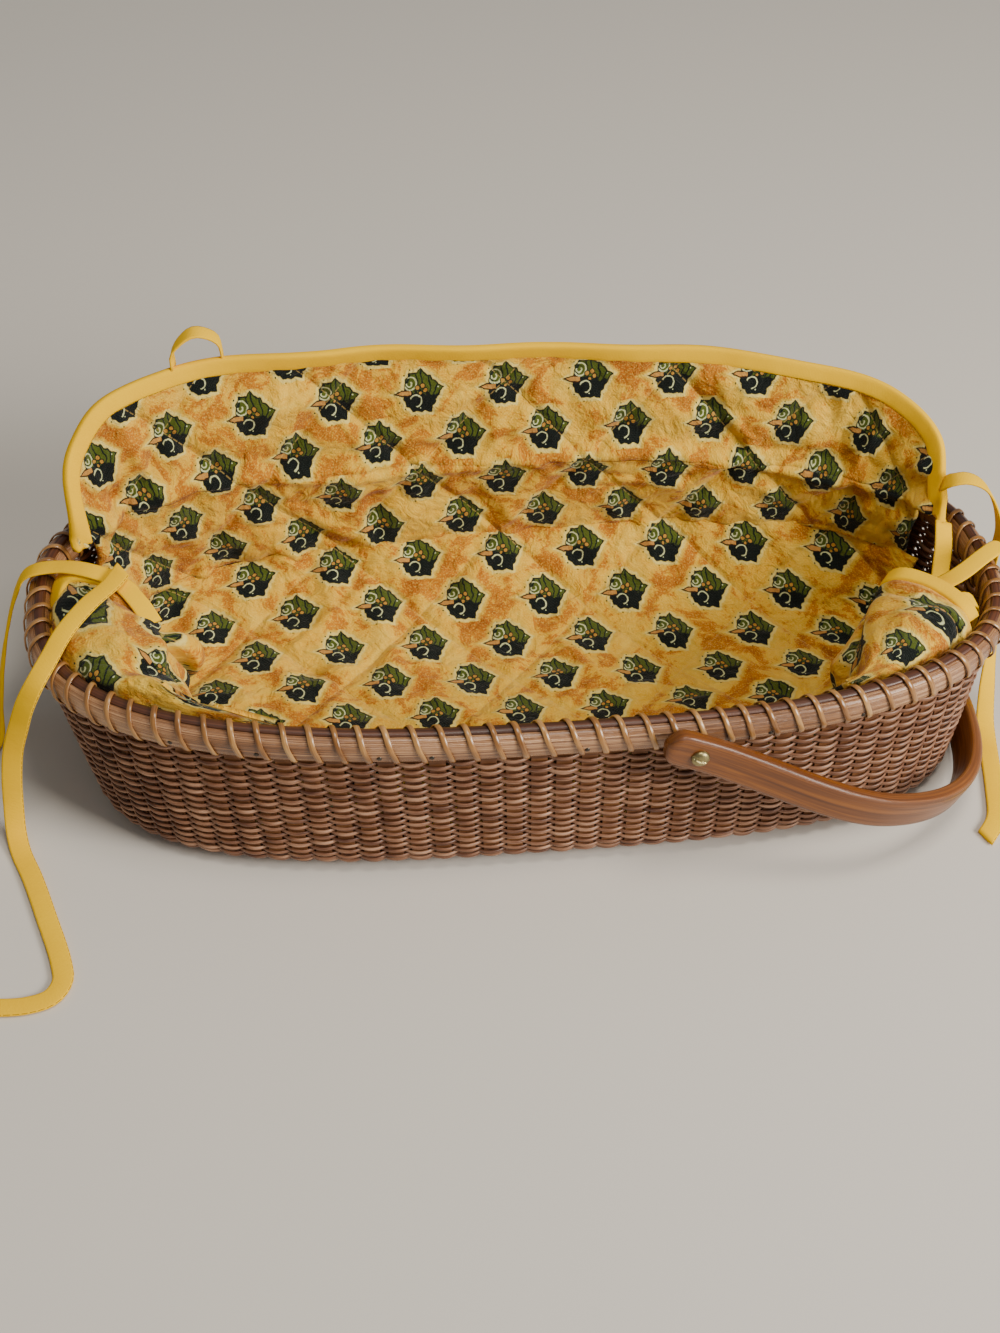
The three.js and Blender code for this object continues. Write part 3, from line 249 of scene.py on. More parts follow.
# Points that each long tie runs through: x, y, z in mm and the heading of its width
LONG_TIES = {
    "tie_left_outer": [
        [-150.5, -17, 78.5, 25], [-156, -8, 82.5, 28], [-164.9, 3.4, 84.6, 50],
        [-174.5, 7.8, 86.2, 66], [-186.4, 12.6, 85, 70], [-199.4, 14, 81.7, 80],
        [-205, 15.5, 71, 88], [-209.5, 14, 57, 90], [-214, 10, 38, 95],
        [-217.5, 6, 18, 110], [-220, 0, 5, 130], [-226, -9, 1.2, 144],
        [-238, -22, 1.2, 140], [-250, -36, 1.2, 140],
    ],
    "tie_left_front": [
        [-161.6, 6.5, 87.2, -25], [-166, -2, 87.2, -28], [-174.4, -11.5, 86.2, -35],
        [-183.6, -24.7, 84, -33], [-189.6, -38.9, 82.4, -24], [-194.5, -47.1, 78.6, -30],
        [-199.1, -49.5, 70, -30], [-202.9, -49, 58, -20], [-206.5, -48.4, 45, -10],
        [-208.7, -48.9, 30, -3], [-209.8, -49.5, 15, 2], [-209.8, -54, 4, 6],
        [-208, -62, 1.2, 14], [-203, -76, 1.2, 17], [-197.1, -95.9, 1.2, 16],
        [-190.8, -119, 1.2, 12], [-190, -128, 1.2, -6], [-194, -135, 1.2, -42],
        [-203, -138, 1.2, -78], [-218, -137.6, 1.2, -91],
    ],
    "tie_right_outer": [
        [165.8, -19.1, 77.3, 100], [177.8, -16.9, 83, 108], [190.9, -8.6, 85.5, 118],
        [200.2, -1.6, 84, 115], [206, 2, 77, 100], [208, 1.5, 65, 90],
        [207.5, -3, 45, 60], [206.5, -11, 26, 30], [205.8, -18, 13, 8],
        [205, -25, 4, -4], [203.8, -33, 1.2, -10], [200.5, -48, 1.2, -12],
        [196.8, -64, 1.2, -13], [192, -80, 1.2, -20], [184, -90, 1.2, -37],
    ],
    "tie_right_loop": [
        [181.1, 25.9, 96.6, 70], [183, 22, 101.5, 80], [189, 21, 103, 85],
        [197, 20, 99.5, 88], [203.5, 17, 90, 90], [207.5, 16, 77, 90],
        [209, 17, 60, 95], [209.5, 19, 40, 110], [210, 22, 20, 135],
        [211.5, 26, 6, 150], [215.5, 33, 1.2, 150], [223, 46, 1.2, 150],
    ],
}


def make_ribbon(name, rows, slants=(0.0, 0.0)):
    """A flat tape through the rows, its ends cut at a slant. Returns it, its middle line and
    its length."""
    fine = spline(rows, np.linspace(0, len(rows) - 1, 40 * len(rows)))
    run = run_along(fine[:, :3])
    length = run[-1] * MM
    steps = max(int(round(length / TAPE_STEP)), 8)
    even = read_at(np.linspace(0, run[-1], steps + 1), run, fine)
    centre = even[:, :3] * MM
    tangent = unit(np.gradient(centre, axis=0))
    heading = np.radians(even[:, 3])
    wide = np.stack([np.cos(heading), np.sin(heading), np.zeros(len(heading))], axis=1)
    wide = unit(wide - tangent * np.sum(wide * tangent, axis=1, keepdims=True))
    face = np.cross(tangent, wide)

    def place(u, v):
        at, ring, closing = rings(u, steps, 2)
        edge = np.where((at == 1) | (at == steps + 3), 0.75, 1.0) * closing
        across = squared(np.cos(2 * np.pi * v), 0.35)
        w = across * TAPE_WIDTH / 2 * edge
        t = squared(np.sin(2 * np.pi * v), 0.55) * TAPE_THICKNESS / 2 * edge
        # A slight cupping that fades where the tape lies on the table
        cup = 0.16 * np.sin(ring * 0.37) + 0.1 * np.sin(ring * 0.91 + 2)
        lifted = np.clip(centre[ring, 2] / (12 * MM) - 0.5, 0, 1)
        t = t + cup * TAPE_THICKNESS * across * 0.5 * lifted
        slant = np.where(ring < steps / 2, *slants)
        shift = w * slant * np.clip(1 - np.minimum(ring, steps - ring) / 5, 0, 1)
        return centre[ring] + wide[ring] * w[:, None] + face[ring] * t[:, None] \
            + tangent[ring] * shift[:, None]

    return skin(name, steps + 4, TAPE_AROUND, place, (length, TAPE_GIRTH)), centre, length


TIE_SLANTS = {
    "tie_left_outer": (0.0, 0.5), "tie_left_front": (0.7, 0.6),
    "tie_right_outer": (0.0, 0.5), "tie_right_loop": (0.0, 0.6),
}
for tie_name, tie_rows in LONG_TIES.items():
    ribbon, centre, length = make_ribbon(tie_name + "_ribbon", tie_rows, TIE_SLANTS[tie_name])
    dress(ribbon, ribbon_cotton, "tape", "liner", tie_name)

# ---------------------------------------------------------------------------
# Plan of the basket: a superellipse whose rim is longer and rounder than its foot.
# Stations count the staves from the +X end toward +Y, and insets run inward from the
# outer hoop's face.
RIM_LENGTH, RIM_WIDTH, RIM_SQUARENESS = 400 * MM, 184 * MM, 2.68
FOOT_LENGTH, FOOT_WIDTH, FOOT_SQUARENESS, FOOT_SHIFT = 365 * MM, 174 * MM, 3.25, 4 * MM
STAVE_COUNT = 101
RIM_BASE = 66.5 * MM
WEAVE_FOOT, WEAVE_TOP, WEAVE_INSET = 1.2 * MM, 64.8 * MM, 3.2 * MM
PLAN_LEVELS, PLAN_STEPS = 16, 4040


def oval(half_length, half_width, squareness, steps):
    """Points and normals of a superellipse at even steps round it from its +X end."""
    turn = np.linspace(0, 2 * np.pi, 4001)
    line = np.column_stack([half_length * squared(np.cos(turn), 2 / squareness),
                            half_width * squared(np.sin(turn), 2 / squareness)])
    run = run_along(line)
    line = read_at(np.linspace(0, run[-1], steps + 1), run, line)
    halves = np.array([half_length, half_width])
    return np.hstack([line, unit(squared(line / halves, squareness - 1) / halves)])


foot_plan = np.array([FOOT_LENGTH / 2 + WEAVE_INSET, FOOT_WIDTH / 2 + WEAVE_INSET,
                      FOOT_SQUARENESS])
rim_plan = np.array([RIM_LENGTH / 2, RIM_WIDTH / 2, RIM_SQUARENESS])
plan_table = []
for level_share in np.linspace(0, 1, PLAN_LEVELS + 1):
    ring = oval(*(foot_plan + (rim_plan - foot_plan) * level_share), PLAN_STEPS)
    ring[:, 0] += FOOT_SHIFT * (1 - level_share)
    plan_table.append(ring)
plan_table = np.array(plan_table)


def on_wall(station, inset, height, level=None):
    """Points of the wall at stations, insets and heights. level is the height at which the
    plan is read, where that isn't the points' own."""
    station, inset, height, level = np.broadcast_arrays(
        np.atleast_1d(station), inset, height, height if level is None else level)
    place = np.mod(station / STAVE_COUNT, 1) * PLAN_STEPS
    i = np.minimum(place.astype(int), PLAN_STEPS - 1)
    f = (place - i)[:, None]
    rising = np.clip((level - WEAVE_FOOT) / (WEAVE_TOP - WEAVE_FOOT), 0, 1) * PLAN_LEVELS
    j = np.minimum(rising.astype(int), PLAN_LEVELS - 1)
    g = (rising - j)[:, None]
    low = plan_table[j, i] * (1 - f) + plan_table[j, i + 1] * f
    high = plan_table[j + 1, i] * (1 - f) + plan_table[j + 1, i + 1] * f
    ring = low * (1 - g) + high * g
    return np.column_stack([ring[:, :2] - ring[:, 2:] * inset[:, None], height])


# ---------------------------------------------------------------------------
# Base board and staves: an oval hardwood board, and flat cane strips set in the groove
# round its edge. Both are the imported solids, with sawn-wood and split-cane finishes.
def make_wood(name, shades, grain, roughness, coat, chart_name="UV", streak=1.0,
              depth=0.16 * MM):
    """Wood with its grain along the first axis of its coordinates. grain is metres."""
    material, add = start_material(name)
    dark, mid, light = shades
    chart = add("TexCoord").outputs[chart_name]
    long_grain = add("Mapping", {"Vector": chart, "Scale": (14.0 * streak, 1 / grain, 1 / grain)})
    streaks = add("TexNoise", {"Vector": long_grain, "Scale": 1.0, "Detail": 6,
                               "Roughness": 0.62, "Distortion": 0.35})
    broad = add("Mapping", {"Vector": chart, "Scale": (9, 55, 55)})
    patches = add("TexNoise", {"Vector": broad, "Scale": 1.0, "Detail": 3})
    tone = add("Math", [patches, 0.55, -0.27], "MULTIPLY_ADD")
    tone = add("Math", [tone, streaks], "ADD")
    colour = add("ValToRGB", [tone], stops=[(0.3, dark), (0.72, light), (0.5, mid)])
    pores = add("Mapping", {"Vector": chart, "Scale": (60, 2.6 / grain, 2.6 / grain)})
    pore = add("TexNoise", {"Vector": pores, "Scale": 1.0, "Detail": 2})
    relief = add("Math", [streaks, pore], "ADD")
    bump = add("Bump", {"Strength": 0.7, "Distance": depth, "Height": relief})
    dull = add("MapRange", [streaks, 0.3, 0.7, roughness + 0.12, roughness - 0.05])
    shader = add("BsdfPrincipled", {
        "Base Color": colour, "Roughness": dull, "Normal": bump, "IOR": 1.5,
        "Coat Weight": coat, "Coat Roughness": 0.25,
    })
    add("OutputMaterial", [shader])
    return material


def refinish(node, material):
    """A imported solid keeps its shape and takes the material."""
    for slot_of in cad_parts[node].material_slots:
        slot_of.material = material


refinish("base_board", make_wood("waxed_board", ("#6E4526", "#946238", "#AE7A48"), 1.6 * MM,
                                 0.5, 0.0, chart_name="Object"))
refinish("staves", make_wood("split_cane_stave", ("#41210E", "#643B1B", "#81542E"), 1.1 * MM,
                             0.55, 0.0, chart_name="Object", streak=3.0))

# ---------------------------------------------------------------------------
# Woven wall: flat-oval cane in plain weave, one weaver spiralling down from the rim in
# 37 turns over and under an odd number of staves, then curled in under the foot. The
# cane is smoked reddish brown and lightly varnished, so each pass has a soft highlight.
WEAVE_TURNS = 37
WEAVER_THICKNESS, WEAVER_HALF = 1.25 * MM, 1.2 * MM
WEAVER_HEIGHT_MID, WEAVER_HEIGHT_OVER = 2.0 * MM, 2.1 * MM
WEAVE_REACH = 1.4 * MM
STAVE_MIDDLE = 5.55 * MM
FOOT_CURL, FOOT_CURL_HEIGHT, CURL_ANGLE = 8 * MM, 8.8 * MM, 1.36
WEAVE_STEPS_PER_STAVE = 8
WEAVE_AROUND = 6
UPRIGHT_RUN = WEAVE_TOP - WEAVER_HALF - (WEAVE_FOOT + FOOT_CURL_HEIGHT)
CURL_RUN = 11.9 * MM
TURN_CROWDING = 0.14


def smooth_noise(places, seed, rate):
    """A steady wander from -1 to 1 along places, the same each run."""
    rng = np.random.default_rng(seed)
    total = np.zeros(np.shape(places))
    for octave in range(5):
        total += np.sin(places * rate * 1.9**octave + rng.uniform(0, 6.3)) / 1.5**octave
    return total / 2.6


def weave_place(first, last):
    """The weaver's surface between two of its turns, counted from the top."""
    steps = (last - first) * STAVE_COUNT * WEAVE_STEPS_PER_STAVE

    def place(u, v):
        _, ring, closing = rings(u, steps)
        turn = first + (last - first) * ring / steps
        station = turn * STAVE_COUNT
        down = turn / WEAVE_TURNS
        run = (UPRIGHT_RUN + CURL_RUN) * (down * (1 + TURN_CROWDING) - TURN_CROWDING * down**2)
        run = run + 0.26 * MM * smooth_noise(station, 5, 0.6)
        curl = np.clip((run - UPRIGHT_RUN) / CURL_RUN, 0, 1) * CURL_ANGLE
        centre_in = STAVE_MIDDLE + (FOOT_CURL - WEAVER_HALF) * (1 - np.cos(curl))
        centre_up = np.where(
            run < UPRIGHT_RUN, WEAVE_TOP - WEAVER_HALF - run,
            WEAVE_FOOT + FOOT_CURL_HEIGHT - (FOOT_CURL_HEIGHT - 2.6 * MM) * np.sin(curl),
        )
        swing = np.cos(np.pi * station)
        reach = WEAVE_REACH * squared(swing, 0.8) * (1 + 0.16 * smooth_noise(station, 8, 0.9))
        reach = reach * (1 - 0.35 * curl / CURL_ANGLE)
        height = WEAVER_HEIGHT_MID + (WEAVER_HEIGHT_OVER - WEAVER_HEIGHT_MID) * np.abs(swing)
        height = height * (1 - 0.26 * down) * (1 + 0.05 * smooth_noise(station, 3, 0.11))
        out = reach + WEAVER_THICKNESS / 2 * np.cos(2 * np.pi * v) * closing
        b = height / 2 * np.sin(2 * np.pi * v) * closing
        return on_wall(station, centre_in - out * np.cos(curl) - b * np.sin(curl),
                       centre_up - out * np.sin(curl) + b * np.cos(curl))
    return place, steps


# Cane: split rattan skin. Streaks run along each strip, and the colour drifts along the
# weaver between pinkish brown and straw.
def make_cane(name, shades, roughness, coat):
    material, add = start_material(name)
    dark, mid, light = shades
    chart = add("TexCoord").outputs["UV"]
    drift_map = add("Mapping", {"Vector": chart, "Scale": (42, 90, 1)})
    drift = add("TexNoise", {"Vector": drift_map, "Scale": 1.0, "Detail": 4})
    streak_map = add("Mapping", {"Vector": chart, "Scale": (90, 2600, 1)})
    streaks = add("TexNoise", {"Vector": streak_map, "Scale": 1.0, "Detail": 5})
    tone = add("Math", [streaks, 0.4, -0.2], "MULTIPLY_ADD")
    tone = add("Math", [tone, drift], "ADD")
    colour = add("ValToRGB", [tone], stops=[(0.32, dark), (0.68, light), (0.5, mid)])
    bump = add("Bump", {"Strength": 0.5, "Distance": 0.1 * MM, "Height": streaks})
    shader = add("BsdfPrincipled", {
        "Base Color": colour, "Roughness": roughness, "Normal": bump, "IOR": 1.5,
        "Coat Weight": coat, "Coat Roughness": 0.3,
    })
    add("OutputMaterial", [shader])
    return material


smoked_cane = make_cane("smoked_cane", ("#4A2616", "#82573D", "#B98E70"), 0.44, 0.18)
WEAVE_PARTS = {"weave_upper": (0, 13), "weave_middle": (13, 25), "weave_foot": (25, WEAVE_TURNS)}
for part_name, (first, last) in WEAVE_PARTS.items():
    place, steps = weave_place(first, last)
    weave = skin(part_name, steps + 2, WEAVE_AROUND, place, ((last - first) * 0.99, 5.5 * MM))
    dress(weave, smoked_cane, "cane", "basket", "woven_wall")

# ---------------------------------------------------------------------------
# Rim hoops: two half-round rattan hoops bent round the stave tops, flat sides together,
# with a darker flat reed over the tops between them. Scraped and varnished, so the round
# faces carry long streaks and a bright broken highlight.
HOOP_HEIGHT = 12 * MM
RIM_TOP = RIM_BASE + HOOP_HEIGHT
HOOP_STEPS, HOOP_AROUND = STAVE_COUNT * 4, 22
HOOP_ROUNDNESS, HOOP_GIRTH = 0.74, 30 * MM
# The share of a hoop's girth that is its round face
FACE_SHARE = 0.72
# Each hoop: inset of its flat side, thickness, side it faces, length
HOOPS = {"outer_hoop": (4.6 * MM, 4.6 * MM, 1, 1.02), "inner_hoop": (6.5 * MM, 2.9 * MM, -1, 1.0)}
FILLER_WIDTH, FILLER_HEIGHT, FILLER_BASE = 4.4 * MM, 1.2 * MM, 12.05 * MM


def hoop_place(back, thickness, side, seed):
    def place(u, v):
        on_face = v < FACE_SHARE
        angle = (v / FACE_SHARE - 0.5) * np.pi
        up = np.where(on_face, squared(np.sin(angle), HOOP_ROUNDNESS),
                      1 - 2 * (v - FACE_SHARE) / (1 - FACE_SHARE))
        wander = 1 + 0.035 * smooth_noise(2 * np.pi * u, seed, 5.0)
        depth = np.where(on_face, squared(np.cos(angle), HOOP_ROUNDNESS) * thickness * wander, 0)
        return on_wall(u * STAVE_COUNT, back - side * depth, RIM_BASE + HOOP_HEIGHT / 2 * (1 + up))
    return place


hoop_rattan = make_wood("scraped_rattan_hoop", ("#3C1E0C", "#8E603C", "#DCAE82"), 0.55 * MM,
                        0.24, 0.5, streak=0.6, depth=0.42 * MM)
for seed, (hoop_name, (back, thickness, side, length)) in enumerate(HOOPS.items(), 11):
    hoop = skin(hoop_name + "_round", HOOP_STEPS, HOOP_AROUND,
                hoop_place(back, thickness, side, seed), (length, HOOP_GIRTH))
    dress(hoop, hoop_rattan, "hoop", "basket", hoop_name)


def filler_place(u, v):
    inset = STAVE_MIDDLE + FILLER_WIDTH / 2 * squared(np.cos(2 * np.pi * v), 0.7)
    lift = FILLER_HEIGHT * np.clip(np.sin(2 * np.pi * v), -0.1, 1)
    lift = lift + 0.15 * MM * smooth_noise(2 * np.pi * u, 21, 7.0)
    return on_wall(u * STAVE_COUNT, inset, RIM_BASE + FILLER_BASE + lift)


filler_reed = make_wood("dark_reed_filler", ("#2C1206", "#492513", "#693C22"), 0.6 * MM,
                        0.4, 0.25, streak=0.5)
rim_filler = skin("rim_filler_reed", HOOP_STEPS, 12, filler_place, (1.0, 11 * MM))
dress(rim_filler, filler_reed, "filler", "basket", "rim_filler")

# ---------------------------------------------------------------------------
# Rim lashing: one strip of glossy split cane wound over both hoops, once in each gap
# between staves. It slopes over the outer face and lies straight across the inner.
LASHING_WIDTH, LASHING_THICKNESS = 2.4 * MM, 0.8 * MM
LASHING_STEPS_PER_TURN, LASHING_AROUND = 26, 8
LASHING_STEPS = STAVE_COUNT * LASHING_STEPS_PER_TURN
STAVE_PITCH = 9.85 * MM
# The strip's middle round the rim: inset, height over the rim's base, and how far along
# its pitch it has moved
LASHING_LOOP = np.array([
    [4.6, -0.8, 0], [1.1, 0.6, 0.02], [-0.7, 3.6, 0.08], [-0.85, 6.0, 0.17],
    [-0.7, 8.4, 0.27], [0.9, 11.6, 0.38], [3.3, 13.5, 0.46], [5.55, 14.0, 0.53],
    [7.8, 13.5, 0.6], [9.4, 11.2, 0.68], [10.2, 8.0, 0.8], [10.2, 4.0, 0.93],
    [9.2, 0.7, 0.98], [6.6, -0.8, 1.0], [4.6, -0.8, 1.0],
])


def lashing_place(u, v):
    _, ring, closing = rings(u, LASHING_STEPS)
    turn = ring / LASHING_STEPS_PER_TURN
    share = turn - np.floor(turn)
    count = len(LASHING_LOOP) - 1
    here = spline(LASHING_LOOP, share * count)
    ahead = spline(LASHING_LOOP, np.minimum(share * count + 0.05, count))
    behind = spline(LASHING_LOOP, np.maximum(share * count - 0.05, 0))
    tangent = unit(ahead[:, :2] - behind[:, :2])
    slip = np.random.default_rng(31).uniform(-0.11, 0.11, STAVE_COUNT + 2)
    slip = np.interp(turn, np.arange(STAVE_COUNT + 2), slip)
    width = LASHING_WIDTH * (1 + 0.14 * smooth_noise(np.floor(turn), 33, 2.3))
    w = width / 2 * squared(np.cos(2 * np.pi * v), 0.6) * closing
    t = LASHING_THICKNESS / 2 * np.sin(2 * np.pi * v) * closing
    station = 0.5 - np.floor(turn) - here[:, 2] + slip + w / STAVE_PITCH
    return on_wall(station, here[:, 0] * MM - tangent[:, 1] * t,
                   RIM_BASE + here[:, 1] * MM + tangent[:, 0] * t, level=RIM_TOP)


glossy_cane = make_cane("glossy_lashing_cane", ("#6B4119", "#996B38", "#BE945C"), 0.26, 0.5)
lashing = skin("rim_lashing_cane", LASHING_STEPS + 2, LASHING_AROUND, lashing_place,
               (4.1, 5.6 * MM))
dress(lashing, glossy_cane, "lashing", "basket", "rim_lashing")

# ---------------------------------------------------------------------------
# Rim tacks: seven small round-headed steel nails low on the outer hoop, which hold the
# hoops to the staves. Their heads have dulled to near black.
TACK_STATIONS = [60.75, 64.1, 68.75, 70.75, 76.75, 84.1, 88.1]
TACK_RADIUS, TACK_CROWN, TACK_LIFT = 1.1 * MM, 0.75 * MM, 4.1 * MM
TACK_SEAT = 0.35 * MM


def make_metal(name, dark, light, roughness, scratch):
    """Turned or pressed metal with fine wear. scratch is the wear's size in metres."""
    material, add = start_material(name)
    chart = add("TexCoord").outputs["Object"]
    wear = add("TexNoise", {"Vector": chart, "Scale": 1 / scratch, "Detail": 5})
    colour = add("Mix", {0: wear, 6: dark, 7: light}, data_type="RGBA")
    dull = add("MapRange", [wear, 0.3, 0.7, roughness + 0.15, roughness])
    bump = add("Bump", {"Strength": 0.3, "Distance": 0.05 * MM, "Height": wear})
    shader = add("BsdfPrincipled", {
        "Base Color": colour, "Metallic": 1.0, "Roughness": dull, "Normal": bump,
    })
    add("OutputMaterial", [shader])
    return material


blackened_steel = make_metal("blackened_steel", "#2B2724", "#6A635B", 0.32, 0.9 * MM)
for index, tack_station in enumerate(TACK_STATIONS, 1):
    seat, proud = (on_wall(tack_station, inset, RIM_BASE + TACK_LIFT)[0]
                   for inset in (TACK_SEAT, -1 * MM))
    turned = Vector(proud - seat).to_track_quat("Z", "Y").to_matrix().to_4x4()
    form = bmesh.new()
    bmesh.ops.create_uvsphere(form, u_segments=16, v_segments=10, radius=TACK_RADIUS)
    bmesh.ops.bisect_plane(form, geom=form.verts[:] + form.edges[:] + form.faces[:],
                           plane_co=(0, 0, 0), plane_no=(0, 0, -1), clear_outer=True)
    bmesh.ops.contextual_create(form, geom=[e for e in form.edges if e.is_boundary])
    bmesh.ops.scale(form, vec=(1, 1, TACK_CROWN / TACK_RADIUS), verts=form.verts)
    bmesh.ops.transform(form, matrix=Matrix.Translation(seat) @ turned, verts=form.verts)
    for face in form.faces:
        face.smooth = len(face.verts) < 6
    tack = stand(form, f"rim_tack_head_{index}")
    dress(tack, blackened_steel, "nut", "basket", f"rim_tack_{index}")

# ---------------------------------------------------------------------------
# Handle: one strip of steamed ash or oak bent to a deep U and lacquered orange-brown.
# Its edges are eased, its ends rounded, and the grain runs its whole length.
PIVOT = Vector((51.48, 0, 71.2)) * MM
DROP_ANGLE = math.radians(23.9)
HANDLE_WIDTH, HANDLE_THICKNESS = 15.4 * MM, 6.2 * MM
ARM_MIDDLE_Y = 97.3 * MM
BOW_REACH = 153.98 * MM
HANDLE_SQUARENESS = 2.9
HANDLE_FLARE, HANDLE_FLARE_RUN = 12 * MM, 90 * MM
HANDLE_TAIL = 14 * MM
HANDLE_STEPS, HANDLE_AROUND = 220, 28

bow = oval(BOW_REACH, ARM_MIDDLE_Y, HANDLE_SQUARENESS, 400)
bow = np.vstack([bow[300:400], bow[:101]])
# The arms spread as they leave the pivots, before the bow draws them in
spread = np.clip(bow[:, 0] / HANDLE_FLARE_RUN, 0, 1)
bow[:, 1] *= 1 + HANDLE_FLARE / ARM_MIDDLE_Y * spread**2 * (3 - 2 * spread)
bow_way = unit(np.gradient(bow[:, :2], axis=0))
bow[:, 2:] = np.column_stack([bow_way[:, 1], -bow_way[:, 0]])
tail_run = np.linspace(HANDLE_TAIL, 0, 13)[:-1]
near_tail = np.column_stack([-tail_run, np.full(12, -ARM_MIDDLE_Y), np.zeros(12), -np.ones(12)])
far_tail = near_tail[::-1] * [1, -1, 1, -1]
handle_line = np.vstack([near_tail, bow, far_tail])
handle_run = run_along(handle_line[:, :2])
handle_length = handle_run[-1]


def handle_place(u, v):
    _, ring, closing = rings(u, HANDLE_STEPS - 2)
    share = ring / (HANDLE_STEPS - 2)
    # Rings crowd toward the rounded ends
    run = (share - 0.012 * np.sin(2 * np.pi * share)) * handle_length
    line = read_at(run, handle_run, handle_line)
    end_gap = np.minimum(run, handle_length - run)
    reach = HANDLE_WIDTH / 2 - 0.6 * MM
    round_end = np.sqrt(np.clip(1 - np.clip(1 - end_gap / reach, 0, 1) ** 2.6, 0, 1))
    eased = np.clip(end_gap / (1.6 * MM), 0, 1) ** 0.5
    w = squared(np.cos(2 * np.pi * v), 0.36) * HANDLE_WIDTH / 2 * np.maximum(round_end, 0.22)
    t = squared(np.sin(2 * np.pi * v), 0.42) * HANDLE_THICKNESS / 2 * (0.72 + 0.28 * eased)
    flat = line[:, :2] + unit(line[:, 2:]) * (t * closing)[:, None]
    return turn_by(np.column_stack([flat, w * closing]), DROP_ANGLE)


def turn_by(points, angle):
    """Points of the handle, drawn level from its pivot, turned down and put in place."""
    x = points[:, 0] * math.cos(angle) + points[:, 2] * math.sin(angle)
    z = points[:, 2] * math.cos(angle) - points[:, 0] * math.sin(angle)
    return np.column_stack([x + PIVOT.x, points[:, 1], z + PIVOT.z])


bentwood = make_wood("lacquered_bentwood", ("#4A2202", "#6E3A04", "#94560E"), 0.9 * MM, 0.36,
                     0.35, streak=0.8)
handle = skin("handle_bentwood", HANDLE_STEPS, HANDLE_AROUND, handle_place,
              (handle_length, 44 * MM))
dress(handle, bentwood, "bentwood", "handle", "handle")

# ---------------------------------------------------------------------------
# Pivots: a slotted round-head brass screw through each arm, a sleeve that keeps the arm
# off the lashing, and a domed steel nut inside the rim.
HEAD_RADIUS, HEAD_HEIGHT = 3.6 * MM, 2 * MM
SLOT_WIDTH, SLOT_DEPTH, SLOT_ANGLE = 0.9 * MM, 0.9 * MM, math.radians(25)
HEAD_SEAT_Y, NUT_SEAT_Y = 100.7 * MM, 80.2 * MM
# The share of the head's grid that is its dome; the rest closes its underside
DOME_SHARE = 0.8
# The nut from its crown to the middle of its seat: radius and height
NUT_PROFILE = np.array([[0, 3.2], [1.4, 3.0], [2.6, 2.4], [3.3, 1.7], [3.4, 1.5],
                        [3.9, 1.35], [3.9, 0.1], [3.7, 0], [0, 0]]) * MM


def round_head_place(side):
    def place(u, v):
        radius = HEAD_RADIUS * np.clip(u / DOME_SHARE, 0, 1)
        x, z = radius * np.cos(2 * np.pi * v), radius * np.sin(2 * np.pi * v)
        dome = HEAD_HEIGHT * np.sqrt(np.clip(1 - (radius / HEAD_RADIUS) ** 2.4, 0, 1))
        dome = np.where(u > DOME_SHARE, -0.25 * MM * (u - DOME_SHARE) / (1 - DOME_SHARE), dome)
        across = np.abs(-x * math.sin(SLOT_ANGLE) - z * math.cos(SLOT_ANGLE))
        cut = np.clip((SLOT_WIDTH / 2 + 0.1 * MM - across) / (0.12 * MM), 0, 1) \
            * (u < DOME_SHARE - 0.01)
        floor = 0.35 * MM * (1 - cut) + 0.3 * MM
        dome = np.where(cut > 0, np.maximum(dome - SLOT_DEPTH * cut, floor), dome)
        closing = np.where(u > 0.999, 0.0, 1.0)
        return np.column_stack([PIVOT.x + x * closing,
                                side * (HEAD_SEAT_Y + np.minimum(dome, HEAD_HEIGHT)),
                                PIVOT.z + z * closing])
    return place


def dome_nut_place(side):
    def place(u, v):
        last = len(NUT_PROFILE) - 1
        radius, drop = read_at(u * last, np.arange(last + 1), NUT_PROFILE).T
        angle = 2 * np.pi * v
        hexed = radius * (1 - 0.07 * np.abs(np.sin(3 * angle)) * (radius > 3.45 * MM))
        return np.column_stack([PIVOT.x + hexed * np.cos(angle), side * (NUT_SEAT_Y - drop),
                                PIVOT.z + hexed * np.sin(angle)])
    return place


dull_brass = make_metal("dull_brass_screw", "#6E6238", "#B9AE82", 0.3, 0.7 * MM)
for side, side_name in ((-1, "front"), (1, "back")):
    screw = skin(f"pivot_screw_head_{side_name}", 40, 48, round_head_place(side),
                 (HEAD_RADIUS / DOME_SHARE, 22 * MM))
    dress(screw, dull_brass, "screw", "basket", f"pivot_screw_{side_name}")
    nut = skin(f"pivot_dome_nut_{side_name}", 32, 36, dome_nut_place(side), (10 * MM, 24 * MM))
    dress(nut, blackened_steel, "nut", "basket", f"pivot_nut_{side_name}")
    refinish(f"pivot_spacer_{side_name}", dull_brass)

# ---------------------------------------------------------------------------
# Quilted liner: two layers of printed cotton with thin wadding, sewn through in large
# diamonds, and pieced from a floor, four sides and a back flap that stands over the rim.
# The cotton is soft and much washed, so it puckers at the seams and creases as it lies.
QUILT_THICKNESS = 3 * MM
LINER_INSET = 14.36 * MM
FLOOR_TOP, PANEL_FOOT, SPLIT_HEIGHT = 10.3 * MM, 10.6 * MM, 81.26 * MM
SEAM_LEFT, SEAM_RIGHT = 22 * MM, 42 * MM
QUILT_SPACING, QUILT_PUFF = 53 * MM, 2.6 * MM
STATION_PITCH = 9.88 * MM
FLAP_MIDDLE = 25.25 * STATION_PITCH
FIRST_STATION, LAST_STATION = 46.5, 3.5


